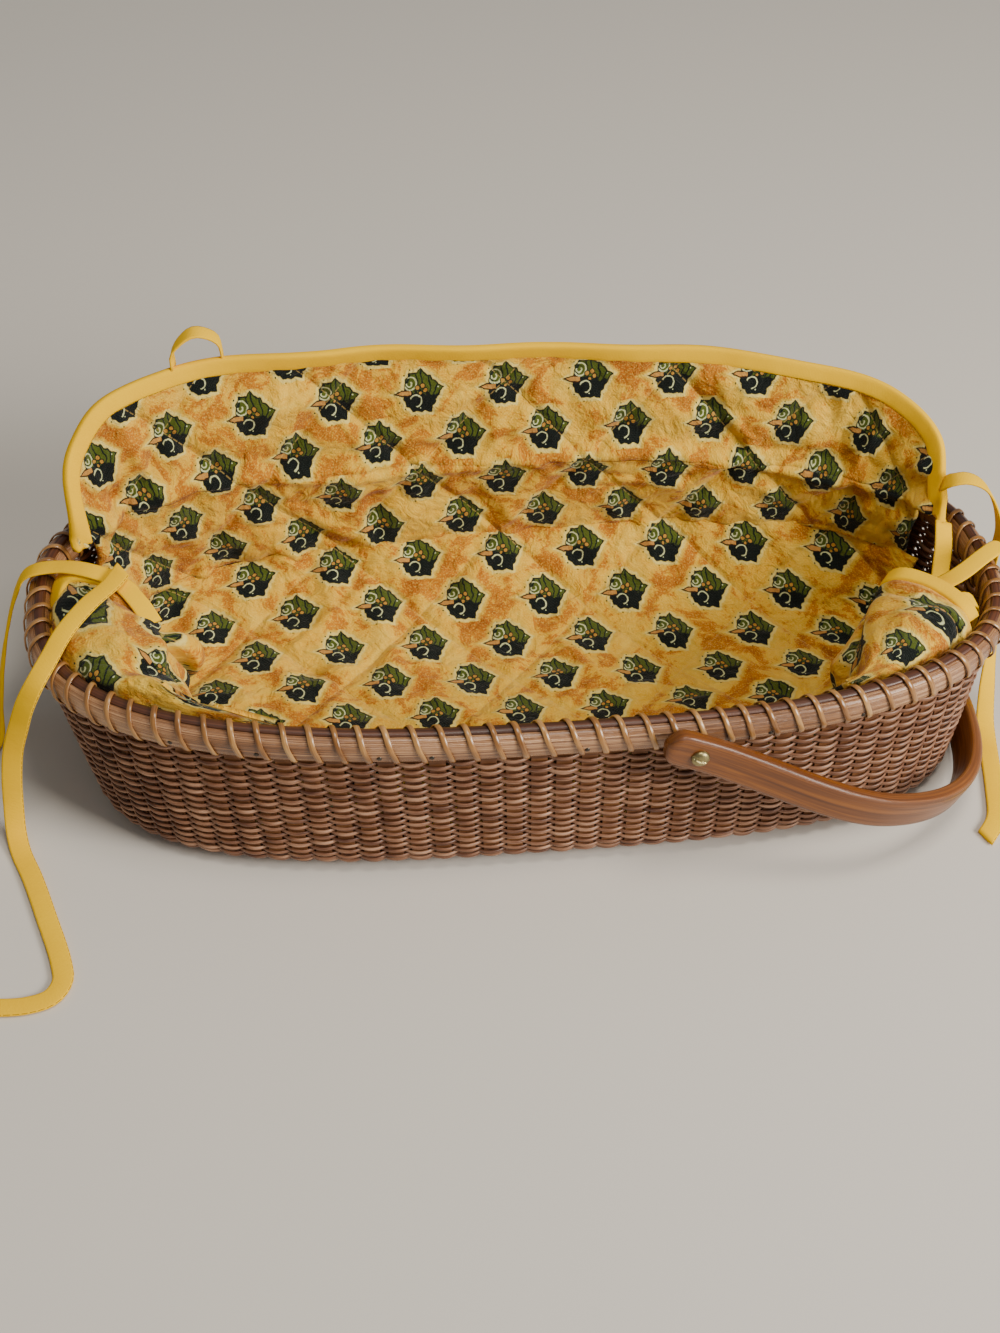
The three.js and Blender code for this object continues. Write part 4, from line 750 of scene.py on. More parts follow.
def quilted(x, y):
    """Height of the wadding at chart points: full between the sewn lines, pinched on them."""
    nearest = 1.0
    for line in ((x + y) / math.sqrt(2), (x - y) / math.sqrt(2)):
        away = np.abs(np.mod(line / QUILT_SPACING + 0.5, 1) - 0.5) * QUILT_SPACING
        nearest = np.minimum(nearest, away)
    return QUILT_PUFF * (1 - np.exp(-nearest / (5 * MM)))


def creases(x, y, seed, low, high, count, height, width=5 * MM):
    """Soft folds: short ridges and valleys across a stretch of the cloth, in metres."""
    rng = np.random.default_rng(seed)
    total = np.zeros(np.shape(x))
    for _ in range(count):
        cx, cy = rng.uniform(low[0], high[0]), rng.uniform(low[1], high[1])
        heading = rng.uniform(0, np.pi)
        reach = rng.uniform(12, 42) * MM
        wide = width * rng.uniform(0.45, 1.5)
        along = (x - cx) * math.cos(heading) + (y - cy) * math.sin(heading)
        away = (y - cy) * math.cos(heading) - (x - cx) * math.sin(heading)
        away = away + 5 * MM * np.sin(along / reach * 2 + rng.uniform(0, 6))
        total += rng.choice([-0.8, 1.0]) * rng.uniform(0.3, 1) * height \
            * np.exp(-((along / reach) ** 2) - (away / wide) ** 2)
    return total


def seam_at(station):
    """Height of the seam between floor and back panel."""
    share = (FIRST_STATION - station) / (FIRST_STATION - LAST_STATION)
    return PANEL_FOOT + SEAM_LEFT + (SEAM_RIGHT - SEAM_LEFT) * share


def rumpled(x, y):
    """The back cloth's and the floor's common lie: wadding, folds and small puckers."""
    broad = creases(x, y, 41, (-0.21, -0.17), (0.21, 0.11), 180, 3.2 * MM)
    fine = creases(x, y, 43, (-0.21, -0.17), (0.21, 0.11), 340, 1.3 * MM, 2.4 * MM)
    rim_line = SPLIT_HEIGHT - seam_at((FLAP_MIDDLE - x) / STATION_PITCH) + 3 * MM * np.sin(x * 31)
    rim_fold = 2.8 * MM * np.exp(-((y - rim_line) / (3 * MM)) ** 2)
    rim_fold = rim_fold - 2.2 * MM * np.exp(-((y - rim_line - 9 * MM) / (5 * MM)) ** 2)
    return quilted(x, y) - QUILT_PUFF * 0.7 + broad + fine + rim_fold


def puckered_seam(x, y):
    """The sewn line between floor and back panel: drawn in, with small gathers beside it."""
    return -1.2 * MM * np.exp(-((y / (3 * MM)) ** 2)) \
        + 0.5 * MM * np.sin(x / (3.3 * MM)) * np.exp(-((y / (7 * MM)) ** 2))


# Printed cotton: a golden ground, sponged light and dark, with sprigs of dark leaves in
# a pale halo, 37 mm apart in rows of 21 mm that step by half. All on the cloth's chart.
SPRIG_STEP, SPRIG_ROW = 37.0, 21.0
SPRIG_REACH, BUD_HALF_WIDTH = 12.0, 1.35
# The sprig's outline: turns round from +x, and radius in mm
SPRIG_EDGE = [
    (0.0, 9.6), (0.022, 11.2), (0.05, 9.0), (0.085, 8.6), (0.11, 7.8), (0.14, 8.6),
    (0.165, 7.8), (0.2, 8.4), (0.235, 10.0), (0.262, 8.0), (0.295, 8.2), (0.325, 9.0),
    (0.35, 7.8), (0.385, 7.9), (0.41, 7.0), (0.455, 6.6), (0.5, 6.2), (0.545, 6.8),
    (0.575, 7.6), (0.6, 7.3), (0.635, 8.4), (0.665, 8.0), (0.7, 9.1), (0.735, 8.5),
    (0.77, 9.1), (0.8, 8.8), (0.838, 10.9), (0.87, 8.7), (0.9, 9.0), (0.93, 8.3),
    (0.965, 9.0), (1.0, 9.6),
]
# Scrolls: middle, radius, half width, and the side that is left open
SPRIG_SCROLLS = [
    ((-3.6, 3.4), 2.7, 0.28, (-0.8, 0.3)), ((-4.0, 3.2), 1.1, 0.24, (-0.2, 0.9)),
    ((-1.2, -4.0), 2.4, 0.25, (-0.8, -0.6)),
]
# Round marks: middle and radius of each, their colour, and the width of a dark rim.
# Berries inside the sprig, dark dots round it, and pale specks on the leaves.
SPRIG_MARKS = [
    ([(-0.4, 1.5, 0.85), (1.8, 2.3, 0.9), (2.9, 0.3, 0.85), (0.8, -0.7, 0.65)], "#B4822E", 0.45),
    ([(-6.2, 6.9, 0.42), (-7.9, 4.2, 0.4), (-3.6, 9.2, 0.4), (-8.3, -4.4, 0.42),
      (-5.9, -7.3, 0.4), (-1.6, -10.4, 0.42)], "#1C2A18", 0.0),
    ([(8.4, 1.6, 0.34), (0.6, -7.0, 0.3)], "#CDD8A8", 0.0),
]
def make_print(name):
    material, add = start_material(name)
    chart = add("TexCoord").outputs["UV"]
    cloth = add("VectorMath", [chart, (1000, 1000, 0)], "MULTIPLY")
    # The rows wander a little, as on cloth that has stretched
    wander = add("TexNoise", {"Vector": cloth, "Scale": 0.5, "Detail": 2})
    shift = add("VectorMath", [wander.outputs[1], (0.5, 0.5, 0.5)], "SUBTRACT")
    shift = add("VectorMath", [shift, (1.0, 1.0, 0)], "MULTIPLY")
    parts = add("SeparateXYZ", [add("VectorMath", [cloth, shift], "ADD")])
    row = add("Math", [parts.outputs[1], SPRIG_ROW], "DIVIDE")
    row_index = add("Math", [row], "FLOOR")
    q = add("Math", [row, row_index], "SUBTRACT")
    q = add("Math", [q, SPRIG_ROW, -SPRIG_ROW / 2], "MULTIPLY_ADD")
    half_step = add("Math", [row_index, 0.5], "MULTIPLY")
    column = add("Math", [parts.outputs[0], 1 / SPRIG_STEP, half_step], "MULTIPLY_ADD")
    p = add("Math", [column], "FRACT")
    p = add("Math", [p, SPRIG_STEP, -SPRIG_STEP / 2], "MULTIPLY_ADD")
    place = add("CombineXYZ", [p, q])

    # The sprig's outline, read round its middle
    radius = add("VectorMath", [place], "LENGTH")
    turn = add("Math", [add("Math", [q, p], "ARCTAN2"), 2 * math.pi], "DIVIDE")
    turn = add("Math", [add("Math", [turn, 1.0], "ADD")], "FRACT")
    stops = [(spot, (*[reach / SPRIG_REACH] * 3, 1)) for spot, reach in SPRIG_EDGE]
    outline = add("ValToRGB", [turn], stops=[stops[0], stops[-1], *stops[1:-1]])
    edge = add("Math", [outline, SPRIG_REACH], "MULTIPLY")
    inside = add("Math", [edge, radius], "SUBTRACT")
    bud_place = add("VectorMath", [place, (7.4, 0.6, 0)], "ADD")
    bud_parts = add("SeparateXYZ", [bud_place])
    taper = add("Math", [bud_parts.outputs[0], 0.42, BUD_HALF_WIDTH], "MULTIPLY_ADD")
    taper = add("Math", [taper, BUD_HALF_WIDTH], "MINIMUM")
    thin = add("Math", [bud_parts.outputs[1]], "ABSOLUTE")
    bud = add("Math", [taper, thin], "SUBTRACT")
    bud = add("Math", [bud, 20.0], "SUBTRACT")
    before = add("Math", [p, -3.4], "LESS_THAN")
    bud = add("Math", [before, 20.0, bud], "MULTIPLY_ADD")

    # Ground: sponged golds, with a fine grain of paler specks
    sponge = add("TexNoise", {"Vector": cloth, "Scale": 0.045, "Detail": 10,
                              "Roughness": 0.72, "Distortion": 0.6})
    ground = add("ValToRGB", [sponge], stops=[(0.38, "#A45A06"), (0.66, "#EDC446"),
                                              (0.485, "#C47C0E"), (0.505, "#DFA822")])
    grain = add("TexNoise", {"Vector": cloth, "Scale": 1.3, "Detail": 3})
    speckle = add("Math", [add("MapRange", [grain, 0.5, 0.68]), 0.45], "MULTIPLY")
    halo = add("Math", [bud, 0.6], "SUBTRACT")
    halo = add("Math", [inside, halo], "MAXIMUM")
    halo = add("Math", [grain, 1.6, halo], "MULTIPLY_ADD")

    # Leaves: near-black green below and olive above, outlined dark and veined
    slope = add("Math", [p, 0.16, q], "MULTIPLY_ADD")
    blot = add("TexNoise", {"Vector": cloth, "Scale": 0.45, "Detail": 2})
    slope = add("Math", [blot, 6.0, slope], "MULTIPLY_ADD")
    olive = add("Math", [add("MapRange", [slope, 2.6, 3.2]), add("MapRange", [inside, 0.5, 0.9])],
                "MULTIPLY")
    veins = add("TexWave", {"Vector": place, "Scale": 0.11, "Distortion": 9.0, "Detail": 1.5})
    veins = add("Math", [add("MapRange", [veins.outputs[1], 0.78, 0.9]), olive], "MULTIPLY")
    greens = add("Mix", {0: olive, 6: "#040E0A", 7: "#4A5612"}, data_type="RGBA")
    greens = add("Mix", {0: veins, 6: greens, 7: "#0C1A12"}, data_type="RGBA")
    layers = [
        (speckle, "#F2D060"),
        (add("MapRange", [halo, -2.9, -1.2]), "#DCB43A"),
        (add("MapRange", [halo, -1.0, -0.3]), "#E2CC70"),
        (add("MapRange", [inside, -0.25, 0.15]), greens),
        (add("MapRange", [bud, -0.3, 0.0]), "#2A1806"),
        (add("MapRange", [bud, 0.35, 0.6]), "#BE8840"),
    ]

    # Scrolls, berries, dots and specks
    for middle, size, width, open_side in SPRIG_SCROLLS:
        off = add("VectorMath", [place, (*middle, 0)], "SUBTRACT")
        away = add("Math", [add("VectorMath", [off], "LENGTH"), size], "SUBTRACT")
        ring = add("Math", [away], "ABSOLUTE")
        ring = add("MapRange", [ring, width + 0.15, width - 0.1])
        along = add("VectorMath", [off, (*open_side, 0)], "DOT_PRODUCT")
        along = add("MapRange", [along, size * 0.62, size * 0.45])
        layers.append((add("Math", [ring, along], "MULTIPLY"), "#C9CF9A"))
    for places, shade, rim in SPRIG_MARKS:
        nearest = -100.0
        for cx, cy, size in places:
            away = add("VectorMath", [place, (cx, cy, 0)], "DISTANCE")
            spot = add("Math", [size, away], "SUBTRACT")
            nearest = add("Math", [nearest, spot], "MAXIMUM")
        if rim:
            layers.append((add("MapRange", [nearest, -rim, -rim + 0.2]), "#0C1A12"))
        layers.append((add("MapRange", [nearest, -0.05, 0.15]), shade))

    # Quilting: golden thread along the diamonds' lines, 3 mm stitches drawn 0.5 mm wide
    flat = add("SeparateXYZ", [cloth])
    thread, pinch = 0.0, 100.0
    for sign in (1.0, -1.0):
        line = add("Math", [flat.outputs[1], sign, flat.outputs[0]], "MULTIPLY_ADD")
        line = add("Math", [line, math.sqrt(2) * QUILT_SPACING / MM], "DIVIDE")
        line = add("Math", [add("Math", [line, 100.5], "ADD")], "FRACT")
        near = add("Math", [add("Math", [line, 0.5], "SUBTRACT")], "ABSOLUTE")
        near = add("Math", [near, QUILT_SPACING / MM], "MULTIPLY")
        along = add("Math", [flat.outputs[1], -sign, flat.outputs[0]], "MULTIPLY_ADD")
        dash = add("Math", [add("Math", [along, 0.235], "MULTIPLY")], "FRACT")
        run = add("Math", [add("MapRange", [near, 0.32, 0.2]), add("MapRange", [dash, 0.78, 0.74])],
                  "MULTIPLY")
        thread = add("Math", [thread, run], "MAXIMUM")
        pinch = add("Math", [pinch, near], "MINIMUM")
    layers.append((add("Math", [thread, 0.35], "MULTIPLY"), "#DDB865"))
    colour = ground
    for cover, shade in layers:
        colour = add("Mix", {0: cover, 6: colour, 7: shade}, data_type="RGBA")

    # Relief: threads drawn at 0.7 mm, puckers, and the sewn lines drawn in
    threads = add("TexChecker", {"Vector": cloth, "Scale": 1.45})
    pucker = add("TexNoise", {"Vector": cloth, "Scale": 0.12, "Detail": 5,
                              "Roughness": 0.55, "Distortion": 1.4})
    relief = add("Math", [threads.outputs[1], 0.8], "MULTIPLY")
    relief = add("Math", [pucker, 9.0, relief], "MULTIPLY_ADD")
    relief = add("Math", [add("MapRange", [pinch, 0.0, 2.6]), 3.4, relief], "MULTIPLY_ADD")
    relief = add("Math", [grain, 1.2, relief], "MULTIPLY_ADD")
    bump = add("Bump", {"Strength": 0.9, "Distance": 0.3 * MM, "Height": relief})
    shader = add("BsdfPrincipled", {
        "Base Color": colour, "Roughness": 0.9, "Normal": bump,
        "Sheen Weight": 0.12, "Sheen Roughness": 0.5, "Specular IOR Level": 0.2,
    })
    add("OutputMaterial", [shader])
    return material


printed_cotton = make_print("printed_cotton")


def cloth_normal(place, u, v, step):
    """The way out of a laid cloth, read from the surface itself."""
    along = place(np.clip(u + step, 0, 1), v) - place(np.clip(u - step, 0, 1), v)
    across = place(u, np.clip(v + step, 0, 1)) - place(u, np.clip(v - step, 0, 1))
    return unit(np.cross(along, across))


def thicken(piece, thickness):
    """Gives a sheet its thickness away from its facing side."""
    solidify = piece.modifiers.new("thickness", "SOLIDIFY")
    solidify.thickness = thickness
    solidify.offset = -1
    bpy.context.view_layer.update()
    graph = bpy.context.evaluated_depsgraph_get()
    mesh = bpy.data.meshes.new_from_object(piece.evaluated_get(graph))
    piece.modifiers.clear()
    old = piece.data
    piece.data = mesh
    bpy.data.meshes.remove(old)
    mesh.name = piece.name


def lay_quilt(name, steps, place, chart, swell, facing, node):
    """A quilted panel: the cloth laid and swelled along its own normal, turned to face one
    way and thickened with its wadding."""
    def laid(u, v):
        return place(u, v) + cloth_normal(place, u, v, 1e-3) * swell(u, v)[:, None]

    quilt = skin(name, *steps, laid, chart)
    faces = quilt.data.polygons
    if sum((face.normal * face.area for face in faces), Vector()).dot(Vector(facing)) < 0:
        quilt.data.flip_normals()
    thicken(quilt, QUILT_THICKNESS - 0.6 * MM)
    dress(quilt, printed_cotton, "quilt", "liner", node)


def climb(v):
    """How far the floor has risen toward the seam at its back edge."""
    return np.clip((v - 0.52) / 0.48, 0, 1) ** 2.7


def floor_place(u, v):
    station = FIRST_STATION + (LAST_STATION - FIRST_STATION) * u
    edge = LINER_INSET + QUILT_THICKNESS + 0.6 * MM
    base = FLOOR_TOP + 0.4 * MM
    top = base + (seam_at(station) + 1.0 * MM - base) * climb(v)
    front = on_wall(-station, edge, base)
    ring = front + (on_wall(station, edge - 1.6 * MM, top) - front) * v[:, None]
    ring[:, 2] = top
    return ring


def floor_chart(u, v):
    shares = np.linspace(0, 1, 200)
    run = run_along(floor_place(np.full(200, 0.5), shares))
    return np.column_stack([floor_place(u, v)[:, 0], np.interp(v, shares, run) - run[-1]])


def floor_swell(u, v):
    x, y = floor_chart(u, v).T
    calm = np.clip(np.minimum.reduce([u * 0.37, (1 - u) * 0.37, v * 0.17]) / (6 * MM), 0, 1)
    return np.maximum(rumpled(x, y) * calm + puckered_seam(x, y), -0.5 * MM - 2 * MM * climb(v))


lay_quilt("liner_floor_quilt", (200, 96), floor_place, floor_chart, floor_swell,
          (0, 0, 1), "liner_floor")

# Back panel and flap: one cloth. It hangs from the rim's level to the seam, and above
# the rim it leans back and stands by its own stiffness and the binding round its edge.
FLAP_LEAN = math.radians(18)
FLAP_HEIGHT = 54 * MM
FLAP_BEND = 8 * MM
FLAP_CURL, CURL_HEIGHT = math.radians(-48), 11 * MM
FLAP_FOLDS, FOLD_DEPTH = 7, 1.1 * MM
FLAP_OUTLINE = np.array([
    [0.0235, 0], [0.036, 0.3], [0.0475, 0.57], [0.074, 0.77], [0.12, 0.87], [0.208, 0.97],
    [0.32, 1.02], [0.395, 1.01], [0.425, 0.93], [0.44, 0.77], [0.4535, 0.56], [0.467, 0],
])
FLAP_ARC = STAVE_COUNT * STATION_PITCH

outline_fine = spline(FLAP_OUTLINE * [FLAP_ARC, FLAP_HEIGHT],
                      np.linspace(0, len(FLAP_OUTLINE) - 1, 900))


def on_flap(along, height, depth):
    """A point of the flap: depth counts from its wall side toward the basket's middle. The
    last of its height curls in under the binding's weight, most at the middle."""
    station = along / STATION_PITCH
    foot = on_wall(station, LINER_INSET, RIM_TOP)
    outward = (foot - on_wall(station, LINER_INSET + 1 * MM, RIM_TOP)) / MM
    fold = np.sin(4 * np.pi * FLAP_FOLDS * station / STAVE_COUNT) * height / FLAP_HEIGHT
    top = np.interp(along, outline_fine[:, 0], outline_fine[:, 1])
    straight = np.minimum(height, np.maximum(top - CURL_HEIGHT, 0))
    share = along / FLAP_ARC
    curl = FLAP_CURL * np.clip((share - 0.13) / 0.1, 0, 1) * np.clip((0.405 - share) / 0.08, 0, 1)
    rate = (curl - 1e-3) / CURL_HEIGHT
    ahead = FLAP_LEAN + rate * (height - straight)
    leaned = straight - FLAP_BEND * (1 - np.exp(-straight / FLAP_BEND))
    leaned = leaned * FLAP_HEIGHT / (FLAP_HEIGHT - FLAP_BEND)
    lean = ahead * np.clip(height / (24 * MM), 0, 1)
    out = np.sin(FLAP_LEAN) * leaned + (np.cos(FLAP_LEAN) - np.cos(ahead)) / rate
    rise = np.cos(FLAP_LEAN) * straight + (np.sin(ahead) - np.sin(FLAP_LEAN)) / rate
    ring = foot + outward * (out - np.cos(lean) * depth + FOLD_DEPTH * fold)[:, None]
    ring[:, 2] = SPLIT_HEIGHT + rise + np.sin(lean) * depth
    return ring


def flap_share(u, v):
    first, last = outline_fine[0, 0] + 1 * MM, outline_fine[-1, 0] - 1 * MM
    along = last + (first - last) * u
    top = np.interp(along, outline_fine[:, 0], outline_fine[:, 1])
    return along, np.maximum(top - 1.2 * MM, 0.5 * MM) * v


def flap_place(u, v):
    along, height = flap_share(u, v)
    return on_flap(along, height, QUILT_THICKNESS + 0.4 * MM)


def back_chart(along, height):
    """The back cloth's flat points, from the distance round the rim and the height."""
    return np.column_stack([FLAP_MIDDLE - along, height - seam_at(along / STATION_PITCH)])


def flap_chart(u, v):
    along, height = flap_share(u, v)
    return back_chart(along, SPLIT_HEIGHT + height)


def flap_swell(u, v):
    along, height = flap_share(u, v)
    x, y = flap_chart(u, v).T
    top = np.interp(along, outline_fine[:, 0], outline_fine[:, 1])
    side = np.minimum(along - outline_fine[0, 0], outline_fine[-1, 0] - along)
    calm = np.clip(np.minimum(top - height - 7 * MM, side) / (8 * MM), 0, 1)
    return rumpled(x, y) * calm


lay_quilt("liner_back_flap_quilt", (220, 34), flap_place, flap_chart, flap_swell,
          (0, -1, 0.3), "liner_back_flap")

BACK_STATIONS = 45.5, 4.5


def panel_share(u, v):
    station = BACK_STATIONS[0] + (BACK_STATIONS[1] - BACK_STATIONS[0]) * u
    low = seam_at(station) - 1.2 * MM
    return station, low + (SPLIT_HEIGHT + 0.2 * MM - low) * v


def panel_place(u, v):
    station, height = panel_share(u, v)
    return on_wall(station, LINER_INSET + QUILT_THICKNESS + 0.4 * MM, height)


def panel_chart(u, v):
    station, height = panel_share(u, v)
    return back_chart(station * STATION_PITCH, height)


def panel_swell(u, v):
    x, y = panel_chart(u, v).T
    calm = np.clip(np.minimum(u, 1 - u) * 0.4 / (6 * MM), 0, 1)
    return rumpled(x, y) * calm + puckered_seam(x, y)


lay_quilt("liner_back_panel_quilt", (200, 32), panel_place, panel_chart, panel_swell,
          (0, -1, 0), "liner_back_panel")

# Front panel: lower than the rim, its top edge bound with the same tape.
FRONT_LENGTH, FRONT_HEIGHT = 310 * MM, 46 * MM
FRONT_STATIONS = 90.5, 59


def front_wave(share):
    """How far the panel's top edge waves in from the wall."""
    return 1.5 * MM * (1 - np.cos(8 * np.pi * share))


def front_place(u, v):
    station = FRONT_STATIONS[0] + (FRONT_STATIONS[1] - FRONT_STATIONS[0]) * u
    inset = LINER_INSET + QUILT_THICKNESS + front_wave(u) * v
    return on_wall(station, inset, PANEL_FOOT + FRONT_HEIGHT * v)


def front_chart(u, v):
    return np.column_stack([FRONT_LENGTH * u, FRONT_HEIGHT * v])


def front_swell(u, v):
    x, y = front_chart(u, v).T
    calm = np.minimum.reduce([x, FRONT_LENGTH - x, y, FRONT_HEIGHT - y]) / (6 * MM)
    folds = creases(x, y, 74, (0, 0), (FRONT_LENGTH, FRONT_HEIGHT), 30, 1 * MM)
    return (quilted(x, y) - 0.8 * MM + folds) * np.clip(calm, 0, 1)


lay_quilt("liner_front_panel_quilt", (140, 26), front_place, front_chart, front_swell,
          (0, 1, 0), "liner_front_panel")

# End panels: cut taller than the basket's wall. They fill the front corners, buckled into
# soft ledges that press against the rim and fall steeply to the floor. Each column gives
# the station at the rim, the station, inset and height of the ledge's brow, and its puff.
LEDGES = {
    "left": [
        [49.5, 50.9, 43, 79.5, 3.6], [51.0, 52.6, 48, 77.5, 4.0], [52.6, 54.6, 48, 77.5, 4.4],
        [54.2, 56.6, 44, 78.0, 4.2], [56.2, 58.4, 37, 78.5, 3.2], [58.2, 59.9, 27, 77.5, 2.2],
        [60.2, 61.2, 18, 77.0, 1.4], [62.4, 62.8, 14.5, 77.0, 0.6], [64.8, 64.8, 13.6, 73.0, 0.2],
    ],
    "right": [
        [95.6, 98.6, 48, 78.5, 3.0], [95.0, 96.0, 51, 78.0, 3.8], [94.0, 93.4, 47, 77.5, 4.2],
        [92.6, 91.2, 38, 77.0, 3.8], [91.2, 90.2, 28, 77.0, 2.6], [90.0, 89.2, 18, 77.0, 1.4],
        [88.6, 88.0, 14, 75.0, 0.4],
    ],
}
LEDGE_BOW = {"left": 0.0, "right": 0.2}
# Bulges and valleys of the folded cloth: middle and spread on the grid, and height in mm
LEDGE_BULGES = {
    "left": [(0.2, 0.67, 0.12, 0.07, 12.0), (0.2, 0.585, 0.14, 0.03, -7.0),
             (0.43, 0.7, 0.07, 0.06, 7.0), (0.33, 0.66, 0.035, 0.1, -5.0),
             (0.7, 0.3, 0.1, 0.07, 4.5), (0.58, 0.36, 0.05, 0.11, -5.0)],
    "right": [(0.5, 0.7, 0.2, 0.08, 5.0), (0.5, 0.6, 0.2, 0.03, -2.5)],
}
LEDGE_TURN = {"left": math.radians(-28), "right": math.radians(52)}


def ledge_grid(side):
    """Columns of a ledge, from the wall over the top and brow and down to the floor."""
    grid = []
    for index, (outer, inner, brow, height, puff) in enumerate(LEDGES[side]):
        bow = LEDGE_BOW[side] * max(1 - index * 0.6, 0)
        foot = max(brow, 21)
        column = [
            (0.0, 11.8, height - 9), (0.02, 12.0, height - 3), (0.16, 0, height + puff * 0.75),
            (0.42, 0, height + puff), (0.72, 0, height + puff * 0.9), (1.0, brow, height),
            (1.0, max(brow + 3.5, 20.5), height - 9), (1.0, foot + 4.5, 52), (1.0, foot + 5.5, 36),
            (1.0, foot + 3, 21), (1.0, foot + 1, 11.6),
        ]
        grid.append([[outer + (inner - outer) * share**1.5 + bow * 4 * share * (1 - share),
                      (inset or 12 + (brow - 12) * share) * MM, z * MM]
                     for share, inset, z in column])
    return np.array(grid if side == "left" else grid[::-1])


def ledge_place(side):
    grid = ledge_grid(side)
    last = grid.shape[1] - 1

    def place(u, v):
        rows = np.array([spline(grid[:, k], u * (len(grid) - 1)) for k in range(last + 1)])
        low = np.clip(np.floor(v * last).astype(int), 0, last - 1)
        t = (v * last - low)[:, None]
        pick = np.arange(len(u))
        p0, p1 = rows[np.maximum(low - 1, 0), pick], rows[low, pick]
        p2, p3 = rows[low + 1, pick], rows[np.minimum(low + 2, last), pick]
        here = 0.5 * (2 * p1 + (p2 - p0) * t + (2 * p0 - 5 * p1 + 4 * p2 - p3) * t**2
                      + (3 * p1 - 3 * p2 + p3 - p0) * t**3)
        return on_wall(*here.T, level=WEAVE_TOP)
    return place


def ledge_chart(side):
    place = ledge_place(side)
    shares, middle = np.linspace(0, 1, 80), np.full(80, 0.45)
    runs = run_along(place(shares, middle)), run_along(place(middle, shares))
    cos, sin = math.cos(LEDGE_TURN[side]), math.sin(LEDGE_TURN[side])

    def chart(u, v):
        x, y = np.interp(u, shares, runs[0]), np.interp(v, shares, runs[1])
        return np.column_stack([x * cos - y * sin, x * sin + y * cos])
    return chart


def ledge_swell(side, seed):
    chart = ledge_chart(side)

    def swell(u, v):
        x, y = chart(u, v).T
        calm = np.clip(np.minimum.reduce([u, 1 - u, v * 0.8, (1 - v) * 0.8]) / 0.12, 0, 1)
        calm = calm * np.clip(((1 - u if side == "left" else u) - 0.14) / 0.25, 0, 1)
        spread = creases(x, y, seed, (-0.1, -0.1), (0.13, 0.15), 70, 3.0 * MM)
        fine = creases(x, y, seed + 1, (-0.1, -0.1), (0.13, 0.15), 90, 0.8 * MM, 2.6 * MM)
        bulges = sum(MM * high * np.exp(-((u - cu) / wu) ** 2 - ((v - cv) / wv) ** 2)
                     for cu, cv, wu, wv, high in LEDGE_BULGES[side])
        return (quilted(x, y) - 0.8 * MM + spread + fine + bulges) * calm
    return swell


for side, way_in, seed in (("left", 1, 85), ("right", -1, 96)):
    lay_quilt(f"liner_{side}_end_quilt", (96, 96), ledge_place(side), ledge_chart(side),
              ledge_swell(side, seed), (way_in, 0, 1), f"liner_{side}_end")

# ---------------------------------------------------------------------------
# Bindings: the same bias tape folded over each panel's edge and sewn through, 8 mm wide
# on each face. It stands a little proud, and puckers where it goes round a curve.
BINDING_WIDTH, BINDING_THICKNESS, BINDING_STEP = 8 * MM, 3.8 * MM, 2.2 * MM
BINDING_GIRTH = 2 * (BINDING_WIDTH + BINDING_THICKNESS)
binding_cotton = make_bias_tape("binding_cotton", "#EAB400", "#F8C800", "#7A5006",
                                0.405 * BINDING_GIRTH, BINDING_GIRTH)


def bind(piece_name, node, length, edge_at):
    """A tape folded over an edge. edge_at gives, at shares along it, the middle of the tape
    and the unit steps across it and through it."""
    steps = int(round(length / BINDING_STEP))

    def place(u, v):
        _, ring, closing = rings(u, steps)
        middle, across, through = edge_at(ring / steps)
        w = squared(np.cos(2 * np.pi * v), 0.55)
        t = squared(np.sin(2 * np.pi * v), 0.4) * BINDING_THICKNESS / 2 * closing
        t = t * (1 + 0.06 * np.sin(ring / steps * length / (2.4 * MM)) * (w < 0))
        w = w * BINDING_WIDTH / 2 * closing
        return middle + across * w[:, None] + through * t[:, None]

    tape = skin(piece_name, steps + 2, 18, place, (length, BINDING_GIRTH))
    dress(tape, binding_cotton, "tape", "liner", node)


outline_run = run_along(outline_fine)


def flap_edge_at(share):
    run = share * outline_run[-1]
    along, height = read_at(run, outline_run, outline_fine).T
    tangent = unit(read_at(run + 0.5 * MM, outline_run, outline_fine)
                   - read_at(run - 0.5 * MM, outline_run, outline_fine))
    depth = QUILT_THICKNESS / 2 + 0.6 * MM

    def at(inward, deeper=0.0):
        return on_flap(along + tangent[:, 1] * inward,
                       np.maximum(height - tangent[:, 0] * inward, 0.6 * MM), depth + deeper)

    middle = at(BINDING_WIDTH / 2)
    toward_edge = at(BINDING_WIDTH / 2 - 1 * MM) - middle
    return middle, unit(toward_edge), unit(at(BINDING_WIDTH / 2, 1 * MM) - middle)


bind("binding_back_flap_tape", "binding_back_flap", outline_run[-1], flap_edge_at)


def front_edge_at(share):
    station = FRONT_STATIONS[1] + (FRONT_STATIONS[0] - FRONT_STATIONS[1]) * share
    inset = LINER_INSET + QUILT_THICKNESS / 2 + front_wave(share)
    height = PANEL_FOOT + FRONT_HEIGHT + 0.3 * MM + BINDING_WIDTH / 2
    middle = on_wall(station, inset, height)
    through = on_wall(station, inset + 1 * MM, height) - middle
    return middle, np.array([[0.0, 0.0, 1.0]]), unit(through)


bind("binding_front_tape", "binding_front", 306 * MM, front_edge_at)

# The end panels' bindings follow their free rear edge, as shares of the panel's grid
LEDGE_BINDINGS = {
    "left": [[0.34, 0.13], [0.24, 0.13], [0.14, 0.13], [0.06, 0.14], [0.01, 0.18], [0.0, 0.25],
             [0.0, 0.32], [0.0, 0.4], [0.0, 0.47], [0.0, 0.53]],
    "right": [[1.0, 0.13], [1.0, 0.18], [1.0, 0.25], [1.0, 0.32], [1.0, 0.4], [1.0, 0.47],
              [1.0, 0.53], [1.0, 0.58], [1.0, 0.62]],
}


